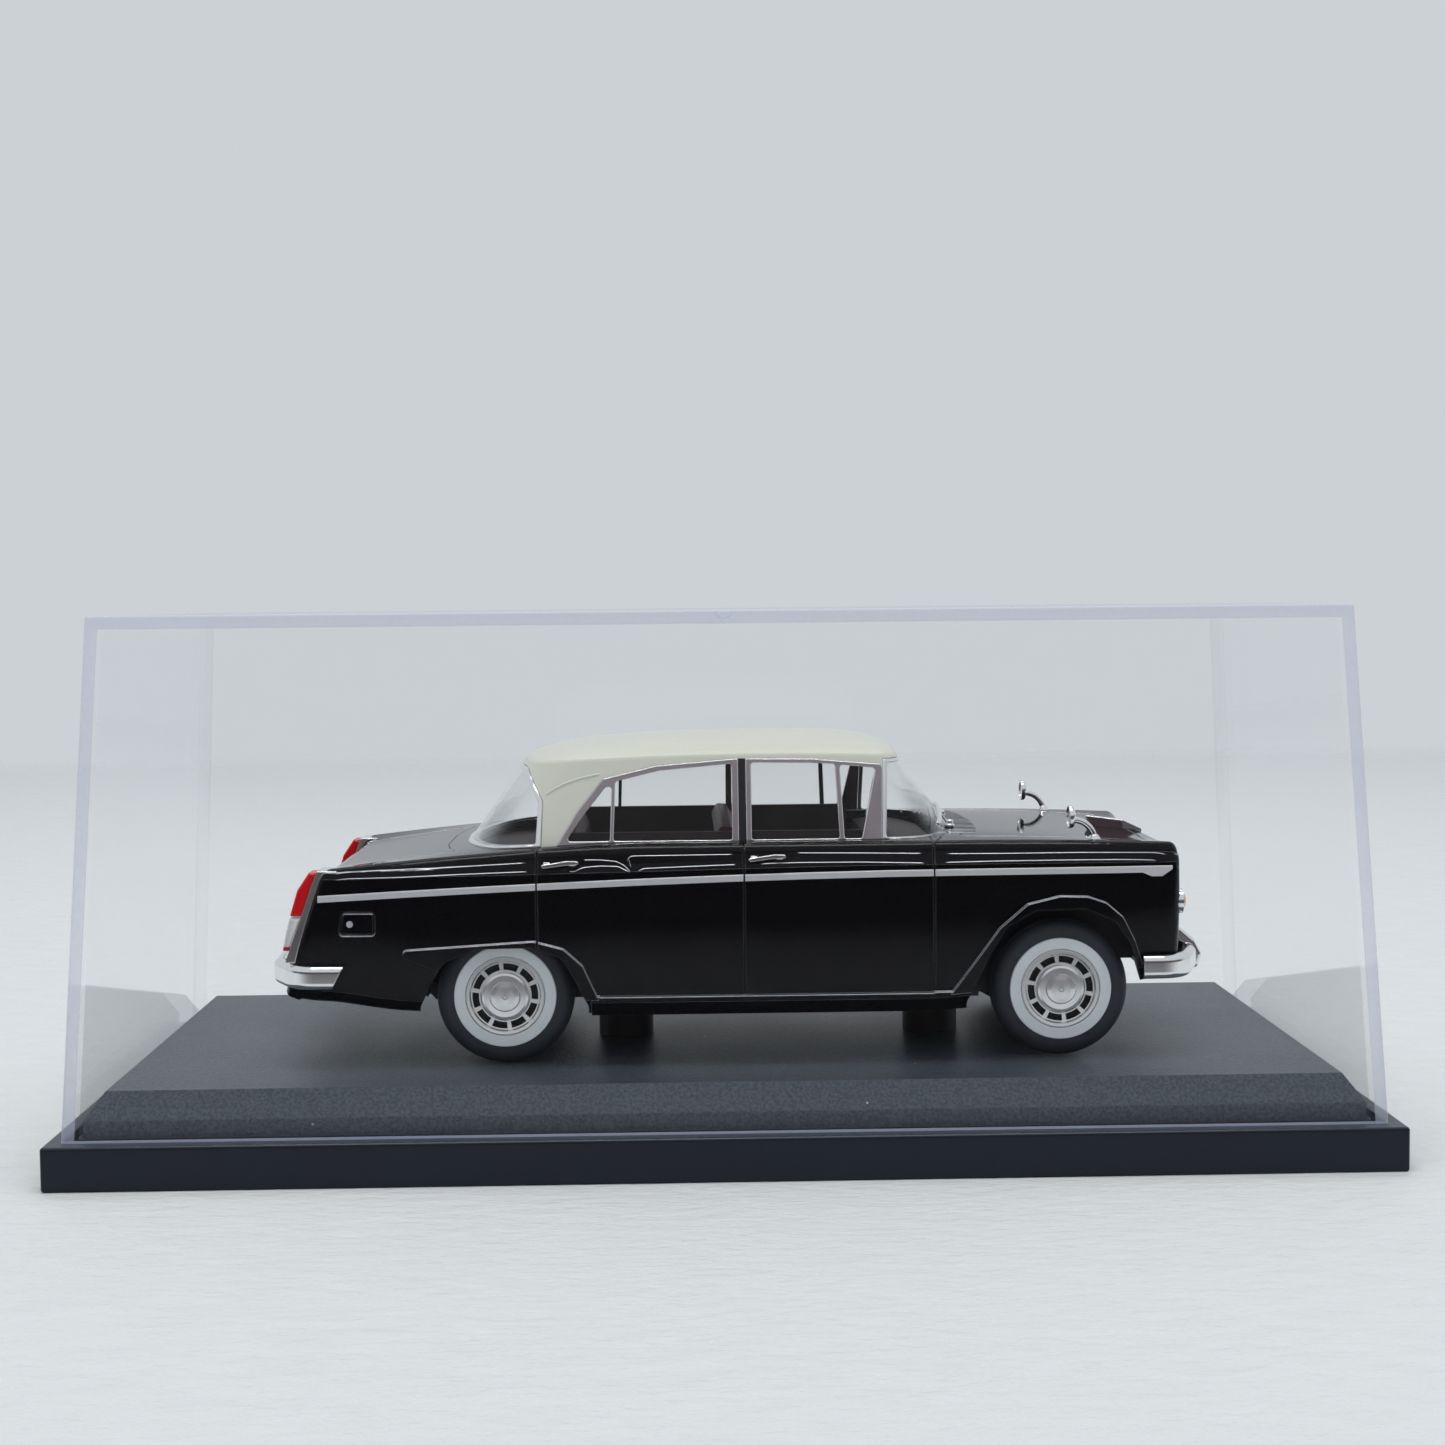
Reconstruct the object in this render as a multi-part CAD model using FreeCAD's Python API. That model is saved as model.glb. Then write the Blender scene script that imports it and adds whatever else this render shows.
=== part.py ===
import FreeCAD, Part
import math
import os

os.makedirs("parts", exist_ok=True)
V = FreeCAD.Vector

# A clear display case: a black plinth, a lift-off clear cover, and a 1:43 saloon screwed to the stage.
# Origin: middle of the plinth's underside. +X is the way the saloon faces, +Y its left side, +Z up.
# All sizes are millimetres. Heights on the saloon are measured up from the underside of its tyres.

# Case
PLINTH_LENGTH = 145.0
PLINTH_DEPTH = 65.0
SLAB_HEIGHT = 4.8
PLINTH_WALL = 2.2
PLINTH_EDGE_ROUND = 0.35
STAGE_THICKNESS = 2.4
LEDGE_WIDTH = 1.75
RISER_HEIGHT = 1.9
BEVEL_WIDTH = 2.0
BEVEL_HEIGHT = 2.8
COVER_HEIGHT = 55.7
COVER_WALL = 1.5
COVER_DRAFT = 3.15
COVER_GAP = 0.25
COVER_EDGE_ROUND = 0.3

# Fixings
POST_PLACES = (-11.6, 25.1)
POST_RADIUS = 3.25
BOSS_RADIUS = 4.2
BOSS_FOOT = 2.3
SCREW_RADIUS = 1.1
SCREW_CLEARANCE = 0.2
SCREW_HEAD_RADIUS = 2.4
SCREW_HEAD_HEIGHT = 1.4
CHASSIS_SCREW_LENGTH = 6.0
RECESS_LENGTH = 2.6
RECESS_WIDTH = 0.6
RECESS_DEPTH = 0.7
FIT = 0.03

# Running gear
FRONT_AXLE_X = 37.9
REAR_AXLE_X = -24.7
TYRE_RADIUS = 7.75
TYRE_WIDTH = 4.0
TYRE_SHOULDER = 1.5
TYRE_FACE_Y = 17.4
TYRE_TO_STAGE = 0.12
TREAD_GROOVES = (0.3, 0.5, 0.7)
TREAD_DEPTH = 0.2
TREAD_WIDTH = 0.28
WHEEL_RADIUS = 4.45
WHEEL_DEPTH = 2.6
WHEEL_WEB = 1.0
WHITEWALL_RADIUS = 5.75
WHITEWALL_THICKNESS = 0.3
WHITEWALL_PROUD = 0.05
WHITEWALL_ROUND = 0.12
AXLE_RADIUS = 0.75
AXLE_CLEARANCE = 0.05
WHEEL_GAP = 0.8
SLOT_COUNT = 10
SLOT_ANGLE = 28.0
SLOT_START = -7.0
SLOT_INNER = 2.95
SLOT_OUTER = 3.7
SLOT_DEPTH = 0.45
SLOT_BAND = 0.2

# Lower body
HALF_WIDTH = 19.6
SKIN = 1.1
NOSE_X = 51.3
TAIL_X = -45.1
END_ROUND = 1.2
BELT = 24.8
TOP_CROWN = 0.3
SILL = 5.9
SILL_TUCK = 1.0
SILL_TUCK_HEIGHT = 1.6
TURN_IN = 0.7
CREASE = 22.3
CREASE_TURN_IN = 0.12
CREASE_STEP_HEIGHT = 0.75
CREASE_STEP_DEPTH = 0.38
SHOULDER = 1.05
SECTION_COUNT = 25
SEAM_WIDTH = 0.2
SEAM_DEPTH = 0.25
FLARE_RISE = 0.4
ARCH_ROUND = 1.6
FLARE_ROUND = 0.5
ROCKER_TOP = 7.9
ROCKER_RISE = 0.32
ROCKER_ENDS = (-15.0, 27.5)
STRIP_RISE = 0.32
STRIP_HEIGHT = 0.72
STRIP_LEVEL = 21.4
SEAM_PLACES = (-20.9, 2.2, 23.4)
SEAM_FEET = (12.0, ROCKER_TOP, ROCKER_TOP)
LID_CORNER = 1.2
BONNET_LINE = [(29.4, 5.0), (28.3, 10.5), (26.2, 15.4), (NOSE_X - 3.0, 14.4), (NOSE_X - 2.2, 6.0)]
BOOT_LINE = [(-32.0, 5.0), (-31.4, 9.5), (-30.0, 13.6), (TAIL_X - 3.0, 12.9)]
FLAP_LINE = [(-43.0, 15.0), (-38.9, 15.0), (-38.9, 17.7), (-42.6, 17.7)]
FLAP_CORNER = 0.45
PILLAR_RADIUS = 2.4
GRILLE_HALF_WIDTH = 15.2
GRILLE_LOW = 12.9
GRILLE_HIGH = 20.3
GRILLE_DEPTH = 0.7
GRILLE_ROUND = 2.6
GRILLE_PROUD = 0.15
GRILLE_RIM = 0.55
GRILLE_BACK = 0.2
BAR_COUNT = 6
BAR_THICKNESS = 0.4
BAR_INSET = 0.1

# Lines along the body towards its tail or nose: how much each changes, where it starts and how it grows
BELT_TO_TAIL = (2.6, -10.0, 1.5)
BELT_TO_NOSE = (0.6, 26.0, 2.0)
CROWN_TO_TAIL = (1.0, -22.0, 1.4)
CROWN_TO_NOSE = (0.95, 24.0, 2.0)
WIDTH_TO_TAIL = (1.05, -5.0, 2.2)
WIDTH_TO_NOSE = (0.95, 15.0, 2.2)
SILL_TO_TAIL = (2.2, -32.0, 1.3)
SILL_TO_NOSE = (3.5, 23.0, 1.3)
CREASE_TO_TAIL = (1.0, 16.0, 1.1)
CREASE_TO_NOSE = (0.15, 20.0, 1.5)
STRIP_TO_TAIL = (2.25, 26.0, 1.8)
LEAN_TO_TAIL = (0.34, -16.0, 1.5)

# Wheel openings and the flares round them, as distances ahead of and above the axle
FRONT_ARCH = [(-11.7, -3.0), (-8.2, 4.4), (-6.4, 7.4), (-3.2, 9.2), (2.4, 9.35), (5.7, 7.9), (7.6, 5.2),
              (10.2, -3.0)]
FRONT_FLARE = [(-14.7, -3.0), (-9.3, 4.4), (-7.2, 7.3), (-4.1, 9.95), (-0.5, 10.8), (2.7, 10.7), (4.8, 9.95),
               (6.7, 8.3), (8.1, 5.6), (11.0, -3.0)]
REAR_ARCH = [(-10.4, -3.0), (-8.0, 1.9), (-6.7, 4.1), (-3.2, 5.7), (3.2, 5.8), (6.4, 4.6), (8.0, 1.9),
             (10.4, -3.0)]
REAR_FLARE = [(-12.8, 5.5), (3.4, 6.5), (6.7, 5.6), (8.8, 3.7), (9.9, 1.2), (11.8, -3.0), (4.0, -3.0),
              (-6.0, 2.6)]

# Cabin above the belt line
CABIN_HALF_WIDTH = 17.0
CABIN_FRONT_X = 28.6
CABIN_REAR_X = -30.4
SCREEN_CORNER_X = 18.6
REAR_CORNER_X = -20.2
ROOF_HALF_WIDTH = 14.7
ROOF_FRONT_X = 20.7
ROOF_REAR_X = -23.3
ROOF_SCREEN_CORNER_X = 17.9
ROOF_REAR_CORNER_X = -17.0
ROOF_RIM = 34.3
ROOF_RIM_X = 4.0
ROOF_RIM_FALL = 0.00156
ROOF_TOP = 36.3
ROOF_MIDDLE_X = 6.5
ROOF_ROUNDNESS = 2.05
ROOF_SHARES = (0.985, 0.95, 0.88, 0.77, 0.62, 0.44, 0.24, 0.06)
ROOF_THICKNESS = 0.8
GLASS_THICKNESS = 0.5
GLASS_INSET = 0.15
FRAME_RISE = 0.12
FRAME_BACK = 0.75
FRAME_ROUND = 0.5
SURROUND_ROUND = 0.06
SCREEN_ROUND = 0.4
OPENING_MARGIN = 0.4
PANE_SILL = 25.0
PANE_ROUND = 0.3
B_PILLAR = (1.75, 2.6)
CABIN_BASE = BELT - 1.5
AHEAD = CABIN_FRONT_X + 10
BEHIND = CABIN_REAR_X - 10

# Window lines in side view, as x and height above the road
DOOR_FRAMES = [(-19.8, 22.8), (-16.4, 28.3), (-13.5, 31.9), (-7.5, 33.3), (1.5, 34.0), (10.0, 33.9),
               (18.1, 33.2), (17.8, 22.8)]
QUARTER_PANE = [(-17.7, PANE_SILL), (-12.75, PANE_SILL), (-12.55, 31.15), (-13.3, 30.9), (-15.7, 27.9)]
REAR_PANE = [(-12.35, PANE_SILL), (1.0, PANE_SILL), (1.0, 33.45), (-7.2, 32.75), (-12.1, 31.6)]
FRONT_PANE = [(3.2, PANE_SILL), (13.1, PANE_SILL), (12.7, 33.3), (9.8, 33.45), (3.2, 33.55)]
VENT_PANE = [(13.65, PANE_SILL), (15.6, PANE_SILL), (17.3, 32.8), (13.25, 33.2)]
PANES = (QUARTER_PANE, REAR_PANE, FRONT_PANE, VENT_PANE)
SCREEN_GLASS = [(18.35, PANE_SILL), (18.65, 33.35), (AHEAD, 33.35), (AHEAD, PANE_SILL)]
SCREEN_SURROUND = [(17.8, 21.8), (18.1, 33.2), (18.15, 33.8), (AHEAD, 33.8), (AHEAD, 21.8)]
REAR_GLASS = [(-21.1, 24.7), (-20.8, 29.3), (-22.5, 32.55), (BEHIND, 32.55), (BEHIND, 23.6)]
REAR_SURROUND = [(-20.6, 21.8), (-20.3, 29.5), (-22.2, 32.95), (BEHIND, 32.95), (BEHIND, 21.8)]

# Outside trim
STRIP_FRONT_X = 50.2
STRIP_REAR_X = -45.2
STRIP_COUNT = 10
SPEAR_LENGTH = 3.4
SPEAR_DROP = 0.8
HANDLES = ((-20.4, 22.85), (2.6, 23.3))
HANDLE_LENGTH = 4.2
HANDLE_THICKNESS = 0.45
HANDLE_REACH = 0.3
HANDLE_FOOT = 0.7
BUMPER_LOW = 9.0
BUMPER_HEIGHT = 2.75
BUMPER_WALL = 1.0
BUMPER_BEND = 4.0
BUMPER_OUTSET = 0.35
BUMPER_STAY_Y = 10.4
BUMPER_STAY_WIDTH = 1.4
FRONT_BUMPER_X = 55.0
REAR_BUMPER_X = -51.8
FRONT_BUMPER_END = 46.9
REAR_BUMPER_END = -42.4
REAR_BUMPER_RAKE = 1.4
OVERRIDER_TOP = 13.6
OVERRIDER_WIDTH = 1.9
OVERRIDER_REACH = 0.5
OVERRIDER_GAP = 0.25
OVERRIDER_ROUND = 0.4
HEADLAMPS = (12.6, 8.6)
HEADLAMP_H = 16.6
HEADLAMP_RADIUS = 1.85
TURN_LAMP_Y = 16.9
TURN_LAMP_H = 17.5
TURN_LAMP_RADIUS = 1.4
LAMP_RIM = 0.32
LAMP_PROUD = 0.4
LAMP_FLOOR = 0.25
TAIL_LAMP_Y = (14.2, 18.0)
TAIL_LAMP_TOP = 22.15
TAIL_LAMP_SPLIT = 17.0
TAIL_LAMP_FOOT = 13.2
TAIL_BEZEL_FOOT = 11.95
TAIL_BEZEL_REACH = (0.55, 0.4, 0.3)
TAIL_BEZEL_ROOT = 2.0
TAIL_LENS_MARGIN = 0.35
RED_LENS_REACH = (1.75, 1.85, 1.2)
CLEAR_LENS_REACH = (1.3, 1.6, 1.7)
MIRROR_X = 41.9
MIRROR_Y = 16.4
MIRROR_BEND = 2.4
MIRROR_STEM = 0.36
MIRROR_RADIUS = 1.3
MIRROR_THICKNESS = 0.55
MIRROR_FOOT_RADIUS = 0.85
DART_LENGTH = 7.2
DART_RISE = 1.25
DART_HALF_WIDTH = 0.8
WIPER_FEET = (-7.5, 4.5)
WIPER_GAP = 0.22
WIPER_RISE = 0.5
BOOT_HANDLE_H = 17.6
BOOT_HANDLE_HALF_WIDTH = 2.6

# Underside and inside of the saloon
CHASSIS_HEIGHT = 6.6
CHASSIS_THICKNESS = 1.1
CHASSIS_HALF_WIDTH = 15.0
CHASSIS_REAR_HEIGHT = 9.3
CHASSIS_FRONT_HEIGHT = 10.3
CHASSIS_REAR_STEP = (-35.5, -33.0)
CHASSIS_FRONT_STEP = (42.5, 45.0)
BODY_SCREWS = ((-40.5, CHASSIS_REAR_HEIGHT), (47.6, CHASSIS_FRONT_HEIGHT))
CARRIER_LENGTH = 4.4
CARRIER_WALL = 1.0
INNER_WING_WALL = 0.8
INNER_WING_ENDS = (28.7, 47.3)
INNER_WING_TOP = 20.4
INNER_WING_SLOPE = 3.5
WELL_MARGIN = 1.2
TUB_FLOOR = 9.6
TUB_WALL = 0.8
TUB_RIM = 22.9
TUB_SIDE_GAP = 1.7
TUB_REAR_X = -19.5
TUB_FRONT_X = 22.5
DOOR_TRIM_TOP = 25.8
DOOR_TRIM_ENDS = (-17.4, 16.4)
SEAT_GAP = 0.9
SEAT_ROUND = 0.5
DASH_REAR_X = 16.8
DASH_FRONT_X = 24.9
DASH_LOW = 18.6
DASH_TOP = 24.3
BINNACLE_HALF_WIDTH = 3.2
STEERING_PLACE = (12.3, -7.4, 21.9)
STEERING_TILT = 35.0
STEERING_RADIUS = 3.2
STEERING_RIM = 0.24
STEERING_HUB_RADIUS = 0.7
STEERING_SPOKE = 0.17
COLUMN_RADIUS = 0.36
COLUMN_LENGTH = 7.5
EXHAUST_Y = 7.4
EXHAUST_RADIUS = 0.55
EXHAUST_ENDS = (-20.5, 24.0)
SILENCER_RADIUS = 1.1
SILENCER_ENDS = (-19.0, -5.0)
SILENCER_ROUND = 0.5

# Seat outlines in side view, as x and height above the tub's floor
FRONT_CUSHION = [(3.0, 0.0), (3.0, 5.4), (11.3, 6.4), (12.4, 5.2), (12.0, 0.0)]
FRONT_BACKREST = [(4.4, 2.6), (1.8, 2.6), (-0.9, 14.6), (-0.2, 15.8), (1.0, 15.7), (1.9, 14.2)]
REAR_CUSHION = [(-16.2, 0.0), (-16.2, 5.8), (-8.4, 6.6), (-7.4, 5.4), (-7.8, 0.0)]
REAR_BACKREST = [(-14.6, 3.6), (-17.2, 3.6), (-18.5, 14.2), (-17.9, 15.2), (-16.9, 15.1), (-16.2, 13.8)]

stage_top = SLAB_HEIGHT + RISER_HEIGHT + BEVEL_HEIGHT
road = stage_top + TYRE_TO_STAGE
axle_z = road + TYRE_RADIUS
cover_draft_rate = COVER_DRAFT / COVER_HEIGHT
cover_half_length = PLINTH_LENGTH / 2 - LEDGE_WIDTH
cover_half_depth = PLINTH_DEPTH / 2 - LEDGE_WIDTH
riser_inset = COVER_WALL + COVER_GAP + cover_draft_rate * RISER_HEIGHT
riser_half_length = cover_half_length - riser_inset
riser_half_depth = cover_half_depth - riser_inset
wheel_well_y = TYRE_FACE_Y - TYRE_WIDTH - WHEEL_GAP
tub_half_width = CABIN_HALF_WIDTH - TUB_SIDE_GAP
far = HALF_WIDTH + 5


def save(shape, name):
    shape.exportStep("parts/" + name + ".step")


def box_between(low, high):
    return Part.makeBox(high[0] - low[0], high[1] - low[1], high[2] - low[2], V(*low))


def rectangle(half_x, half_y, z):
    corners = [V(-half_x, -half_y, z), V(half_x, -half_y, z), V(half_x, half_y, z), V(-half_x, half_y, z)]
    return Part.makePolygon(corners + corners[:1])


def rounded_wire(points, radius):
    """Closed wire through the points of a plane, with each corner turned into a tangent arc."""
    starts, middles, ends = [], [], []
    for i, corner in enumerate(points):
        before = (points[i - 1] - corner).normalize()
        after = (points[(i + 1) % len(points)] - corner).normalize()
        half_angle = before.getAngle(after) / 2
        straight = math.pi / 2 - half_angle < 1e-3
        trim = 0 if straight else radius / math.tan(half_angle)
        starts.append(corner + before * trim)
        ends.append(corner + after * trim)
        inward = None if straight else (before + after).normalize()
        middles.append(None if straight else corner + inward * (radius / math.sin(half_angle) - radius))
    edges = []
    for i in range(len(points)):
        if middles[i]:
            edges.append(Part.Arc(starts[i], middles[i], ends[i]).toShape())
        following = starts[(i + 1) % len(points)]
        if ends[i].distanceToPoint(following) > 1e-6:
            edges.append(Part.LineSegment(ends[i], following).toShape())
    return Part.Wire(edges)


def swept(points, sweep, radius):
    wire = rounded_wire(points, radius) if radius else Part.makePolygon(points + points[:1])
    return Part.Face(wire).extrude(sweep)


def side_prism(outline, y_from, y_to, radius=0.0):
    """Outline in side view, as x and height above the road, swept across the saloon."""
    return swept([V(x, y_from, road + h) for x, h in outline], V(0, y_to - y_from, 0), radius)


def plan_prism(outline, h_from, h_to, radius=0.0):
    """Outline in plan, swept up between two heights above the road."""
    return swept([V(x, y, road + h_from) for x, y in outline], V(0, 0, h_to - h_from), radius)


def front_prism(outline, x_from, x_to, radius=0.0):
    """Outline seen from the front, as y and height above the road, swept along the saloon."""
    return swept([V(x_from, y, road + h) for y, h in outline], V(x_to - x_from, 0, 0), radius)


def cross_rod(x, h, radius, y_from, y_to):
    return Part.makeCylinder(radius, y_to - y_from, V(x, y_from, road + h), V(0, 1, 0))


def upright(x, y, radius, h_from, h_to):
    return Part.makeCylinder(radius, h_to - h_from, V(x, y, road + h_from))


def mirrored(shape):
    return shape.mirror(V(0, 0, 0), V(0, 1, 0))


def pair(shape):
    return Part.makeCompound([shape, mirrored(shape)])


def united(shapes):
    return shapes[0].fuse(shapes[1:]).removeSplitter()


# Case: plinth, cover, posts and screws

def make_plinth():
    slab = Part.makeBox(PLINTH_LENGTH, PLINTH_DEPTH, SLAB_HEIGHT, V(-PLINTH_LENGTH / 2, -PLINTH_DEPTH / 2, 0))
    slab = slab.makeFillet(PLINTH_EDGE_ROUND, slab.Edges)
    bevel_foot = SLAB_HEIGHT + RISER_HEIGHT
    levels = ((0.0, SLAB_HEIGHT - PLINTH_EDGE_ROUND), (0.0, bevel_foot), (BEVEL_WIDTH, stage_top))
    outlines = [rectangle(riser_half_length - inset, riser_half_depth - inset, z) for inset, z in levels]
    riser = Part.makeLoft(outlines, True, True)
    block = slab.fuse(riser).removeSplitter()
    low_x = PLINTH_LENGTH / 2 - PLINTH_WALL
    low_y = PLINTH_DEPTH / 2 - PLINTH_WALL
    high_x = riser_half_length - BEVEL_WIDTH - PLINTH_WALL
    high_y = riser_half_depth - BEVEL_WIDTH - PLINTH_WALL
    stage_under = stage_top - STAGE_THICKNESS
    block = block.cut(box_between((-low_x, -low_y, -1), (low_x, low_y, SLAB_HEIGHT - PLINTH_WALL)))
    block = block.cut(box_between((-high_x, -high_y, -1), (high_x, high_y, stage_under)))
    for x in POST_PLACES:
        boss_height = stage_top - STAGE_THICKNESS / 2 - BOSS_FOOT
        block = block.fuse(Part.makeCylinder(BOSS_RADIUS, boss_height, V(x, 0, BOSS_FOOT)))
    for x in POST_PLACES:
        block = block.cut(Part.makeCylinder(SCREW_RADIUS + SCREW_CLEARANCE, stage_top + 2, V(x, 0, -1)))
    return block.removeSplitter()


def cover_block(inset, z_from, z_to):
    wires = []
    for z in (z_from, z_to):
        drawn_in = inset + cover_draft_rate * (z - SLAB_HEIGHT)
        wires.append(rectangle(cover_half_length - drawn_in, cover_half_depth - drawn_in, z))
    return Part.makeLoft(wires, True, True)


def make_clear_cover():
    top = SLAB_HEIGHT + COVER_HEIGHT
    outer = cover_block(0.0, SLAB_HEIGHT, top)
    rounded = [e for e in outer.Edges if e.BoundBox.ZMax > SLAB_HEIGHT + COVER_WALL]
    outer = outer.makeFillet(COVER_EDGE_ROUND, rounded)
    return outer.cut(cover_block(COVER_WALL, SLAB_HEIGHT - 1, top - COVER_WALL))


def make_mounting_posts():
    posts = []
    for x in POST_PLACES:
        post = upright(x, 0, POST_RADIUS, stage_top - road, CHASSIS_HEIGHT)
        posts.append(post.cut(upright(x, 0, SCREW_RADIUS + SCREW_CLEARANCE, -2, CHASSIS_HEIGHT + 1)))
    return Part.makeCompound(posts)


def screw(x, seat, tip):
    """Pan-head screw driven upwards, with a cross recess in its head."""
    foot = seat - SCREW_HEAD_HEIGHT
    head = Part.makeCylinder(SCREW_HEAD_RADIUS, SCREW_HEAD_HEIGHT, V(x, 0, foot))
    low_rim = [e for e in head.Edges if e.BoundBox.ZMax < seat - SCREW_HEAD_HEIGHT / 2]
    head = head.makeFillet(SCREW_HEAD_HEIGHT / 2, low_rim)
    whole = head.fuse(Part.makeCylinder(SCREW_RADIUS, tip - seat, V(x, 0, seat)))
    top = foot + RECESS_DEPTH
    for half_x, half_y in ((RECESS_LENGTH / 2, RECESS_WIDTH / 2), (RECESS_WIDTH / 2, RECESS_LENGTH / 2)):
        whole = whole.cut(box_between((x - half_x, -half_y, foot - 1), (x + half_x, half_y, top)))
    return whole


def make_mounting_screws():
    return Part.makeCompound([screw(x, BOSS_FOOT, road + TUB_FLOOR - FIT) for x in POST_PLACES])


# Lower body: smooth lines along the saloon give each cross section, and skins are lofted through them

def change(x, line, end):
    """How far a line has changed at x, growing from nothing at its start to its whole amount at the end."""
    amount, start, power = line
    share = (x - start) / (end - start)
    return amount * min(1.0, max(0.0, share)) ** power


def belt_height(x):
    return BELT - change(x, BELT_TO_TAIL, TAIL_X) - change(x, BELT_TO_NOSE, NOSE_X)


def crown_height(x):
    """Rise of the deck's middle over the wings: positive at the cabin, hollow towards tail and nose."""
    return TOP_CROWN - change(x, CROWN_TO_TAIL, TAIL_X) - change(x, CROWN_TO_NOSE, NOSE_X)


def half_width(x):
    return HALF_WIDTH - change(x, WIDTH_TO_TAIL, TAIL_X) - change(x, WIDTH_TO_NOSE, NOSE_X)


def sill_height(x):
    return SILL + change(x, SILL_TO_TAIL, TAIL_X) + change(x, SILL_TO_NOSE, NOSE_X)


def crease_height(x):
    return CREASE - change(x, CREASE_TO_TAIL, TAIL_X) - change(x, CREASE_TO_NOSE, NOSE_X)


def strip_height(x):
    return STRIP_LEVEL - change(x, STRIP_TO_TAIL, TAIL_X)


def body_section(x, grow, inset=0.0, drop=0.0):
    """Closed section: floor, top, and on each side tuck, flank, crease, upper flank and shoulder."""
    size = grow - inset
    width = half_width(x) + size
    belt = belt_height(x) + size
    floor = sill_height(x) - size - drop
    crease = crease_height(x)
    lean = change(x, LEAN_TO_TAIL, TAIL_X)
    middle = (NOSE_X + TAIL_X) / 2
    along = x + grow * (x - middle) / (NOSE_X - middle)

    def at(y, h):
        return V(along - lean * (belt - h), y, road + h)

    def flank(side):
        foot = at(side * (width - SILL_TUCK - TURN_IN), floor)
        tuck = at(side * (width - TURN_IN), floor + SILL_TUCK_HEIGHT)
        bulge = at(side * width, (floor + SILL_TUCK_HEIGHT + crease) / 2)
        low = at(side * (width - CREASE_TURN_IN), crease)
        high = at(side * (width - CREASE_TURN_IN - CREASE_STEP_DEPTH), crease + CREASE_STEP_HEIGHT)
        edge = at(side * (width - TURN_IN), belt - SHOULDER)
        turn = at(side * (width - TURN_IN - 0.3 * SHOULDER), belt - 0.3 * SHOULDER)
        top = at(side * (width - TURN_IN - SHOULDER), belt)
        lines = [Part.LineSegment(foot, tuck), Part.Arc(tuck, bulge, low), Part.LineSegment(low, high),
                 Part.LineSegment(high, edge), Part.Arc(edge, turn, top)]
        return [line.toShape() for line in lines], foot, top

    left, left_foot, left_top = flank(1)
    right, right_foot, right_top = flank(-1)
    floor_edge = Part.LineSegment(right_foot, left_foot).toShape()
    crown = crown_height(x)
    poles = [(1, 0), (0.84, 0.6), (0.66, 1.0), (0, 1.0), (-0.66, 1.0), (-0.84, 0.6), (-1, 0)]
    deck = Part.BSplineCurve()
    deck.buildFromPoles([at(left_top.y * across, belt + crown * rise) for across, rise in poles], False, 3)
    top_edge = deck.toShape()
    return Part.Wire([floor_edge] + left + [top_edge] + right[::-1])


def body_solid(grow=0.0, drop=0.0):
    """The body's outer form, grown evenly: a long middle loft and a rounded loft at each end."""
    rear, front = TAIL_X + END_ROUND, NOSE_X - END_ROUND
    places = [rear + (front - rear) * i / (SECTION_COUNT - 1) for i in range(SECTION_COUNT)]
    lofts = [Part.makeLoft([body_section(x, grow, 0, drop) for x in places], True, False)]
    for start, way in ((rear, -1), (front, 1)):
        ring = []
        for degrees in (0, 20, 40, 60, 80):
            angle = math.radians(degrees)
            x = start + way * END_ROUND * math.sin(angle)
            ring.append(body_section(x, grow, END_ROUND * (1 - math.cos(angle)), drop))
        lofts.append(Part.makeLoft(ring, True, False))
    return lofts[0].fuse(lofts[1:])


def about_axles(front_outline, rear_outline, radius):
    """Side outlines set about the two axles and swept right across the saloon."""
    pieces = []
    for axle_x, outline in ((FRONT_AXLE_X, front_outline), (REAR_AXLE_X, rear_outline)):
        placed = [(axle_x + ahead, TYRE_RADIUS + above) for ahead, above in outline]
        pieces.append(side_prism(placed, -far, far, radius))
    return Part.makeCompound(pieces)


def outline_gap(wire, sweep):
    """Thin blade that follows the inside of a closed line."""
    return Part.Face(wire).extrude(sweep).cut(Part.Face(wire.makeOffset2D(-SEAM_WIDTH)).extrude(sweep))


def seam_cutters():
    """Thin blades for the gaps round the doors, the bonnet, the boot lid and the filler flap."""
    half = SEAM_WIDTH / 2
    blades = []
    for x, foot in zip(SEAM_PLACES, SEAM_FEET):
        blades.append(box_between((x - half, -far, road + foot), (x + half, far, road + BELT + 1)))
    low, high = road + ROCKER_TOP - half, road + ROCKER_TOP + half
    blades.append(box_between((ROCKER_ENDS[0] + 1, -far, low), (SEAM_PLACES[2], far, high)))
    base = road + BELT - 5
    for outline in (BONNET_LINE, BOOT_LINE):
        both_sides = outline + [(x, -y) for x, y in outline[::-1]]
        wire = rounded_wire([V(x, y, base) for x, y in both_sides], LID_CORNER)
        blades.append(outline_gap(wire, V(0, 0, 8)))
    wire = rounded_wire([V(x, -far, road + h) for x, h in FLAP_LINE], FLAP_CORNER)
    blades.append(outline_gap(wire, V(0, far, 0)))
    return Part.makeCompound(blades)


def grille_outline(inset):
    y, low, high = GRILLE_HALF_WIDTH - inset, GRILLE_LOW + inset, GRILLE_HIGH - inset
    return [(-y, low), (y, low), (y, high), (-y, high)]


def make_flares():
    return body_solid(FLARE_RISE, -FLARE_RISE).common(about_axles(FRONT_FLARE, REAR_FLARE, FLARE_ROUND))


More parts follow.
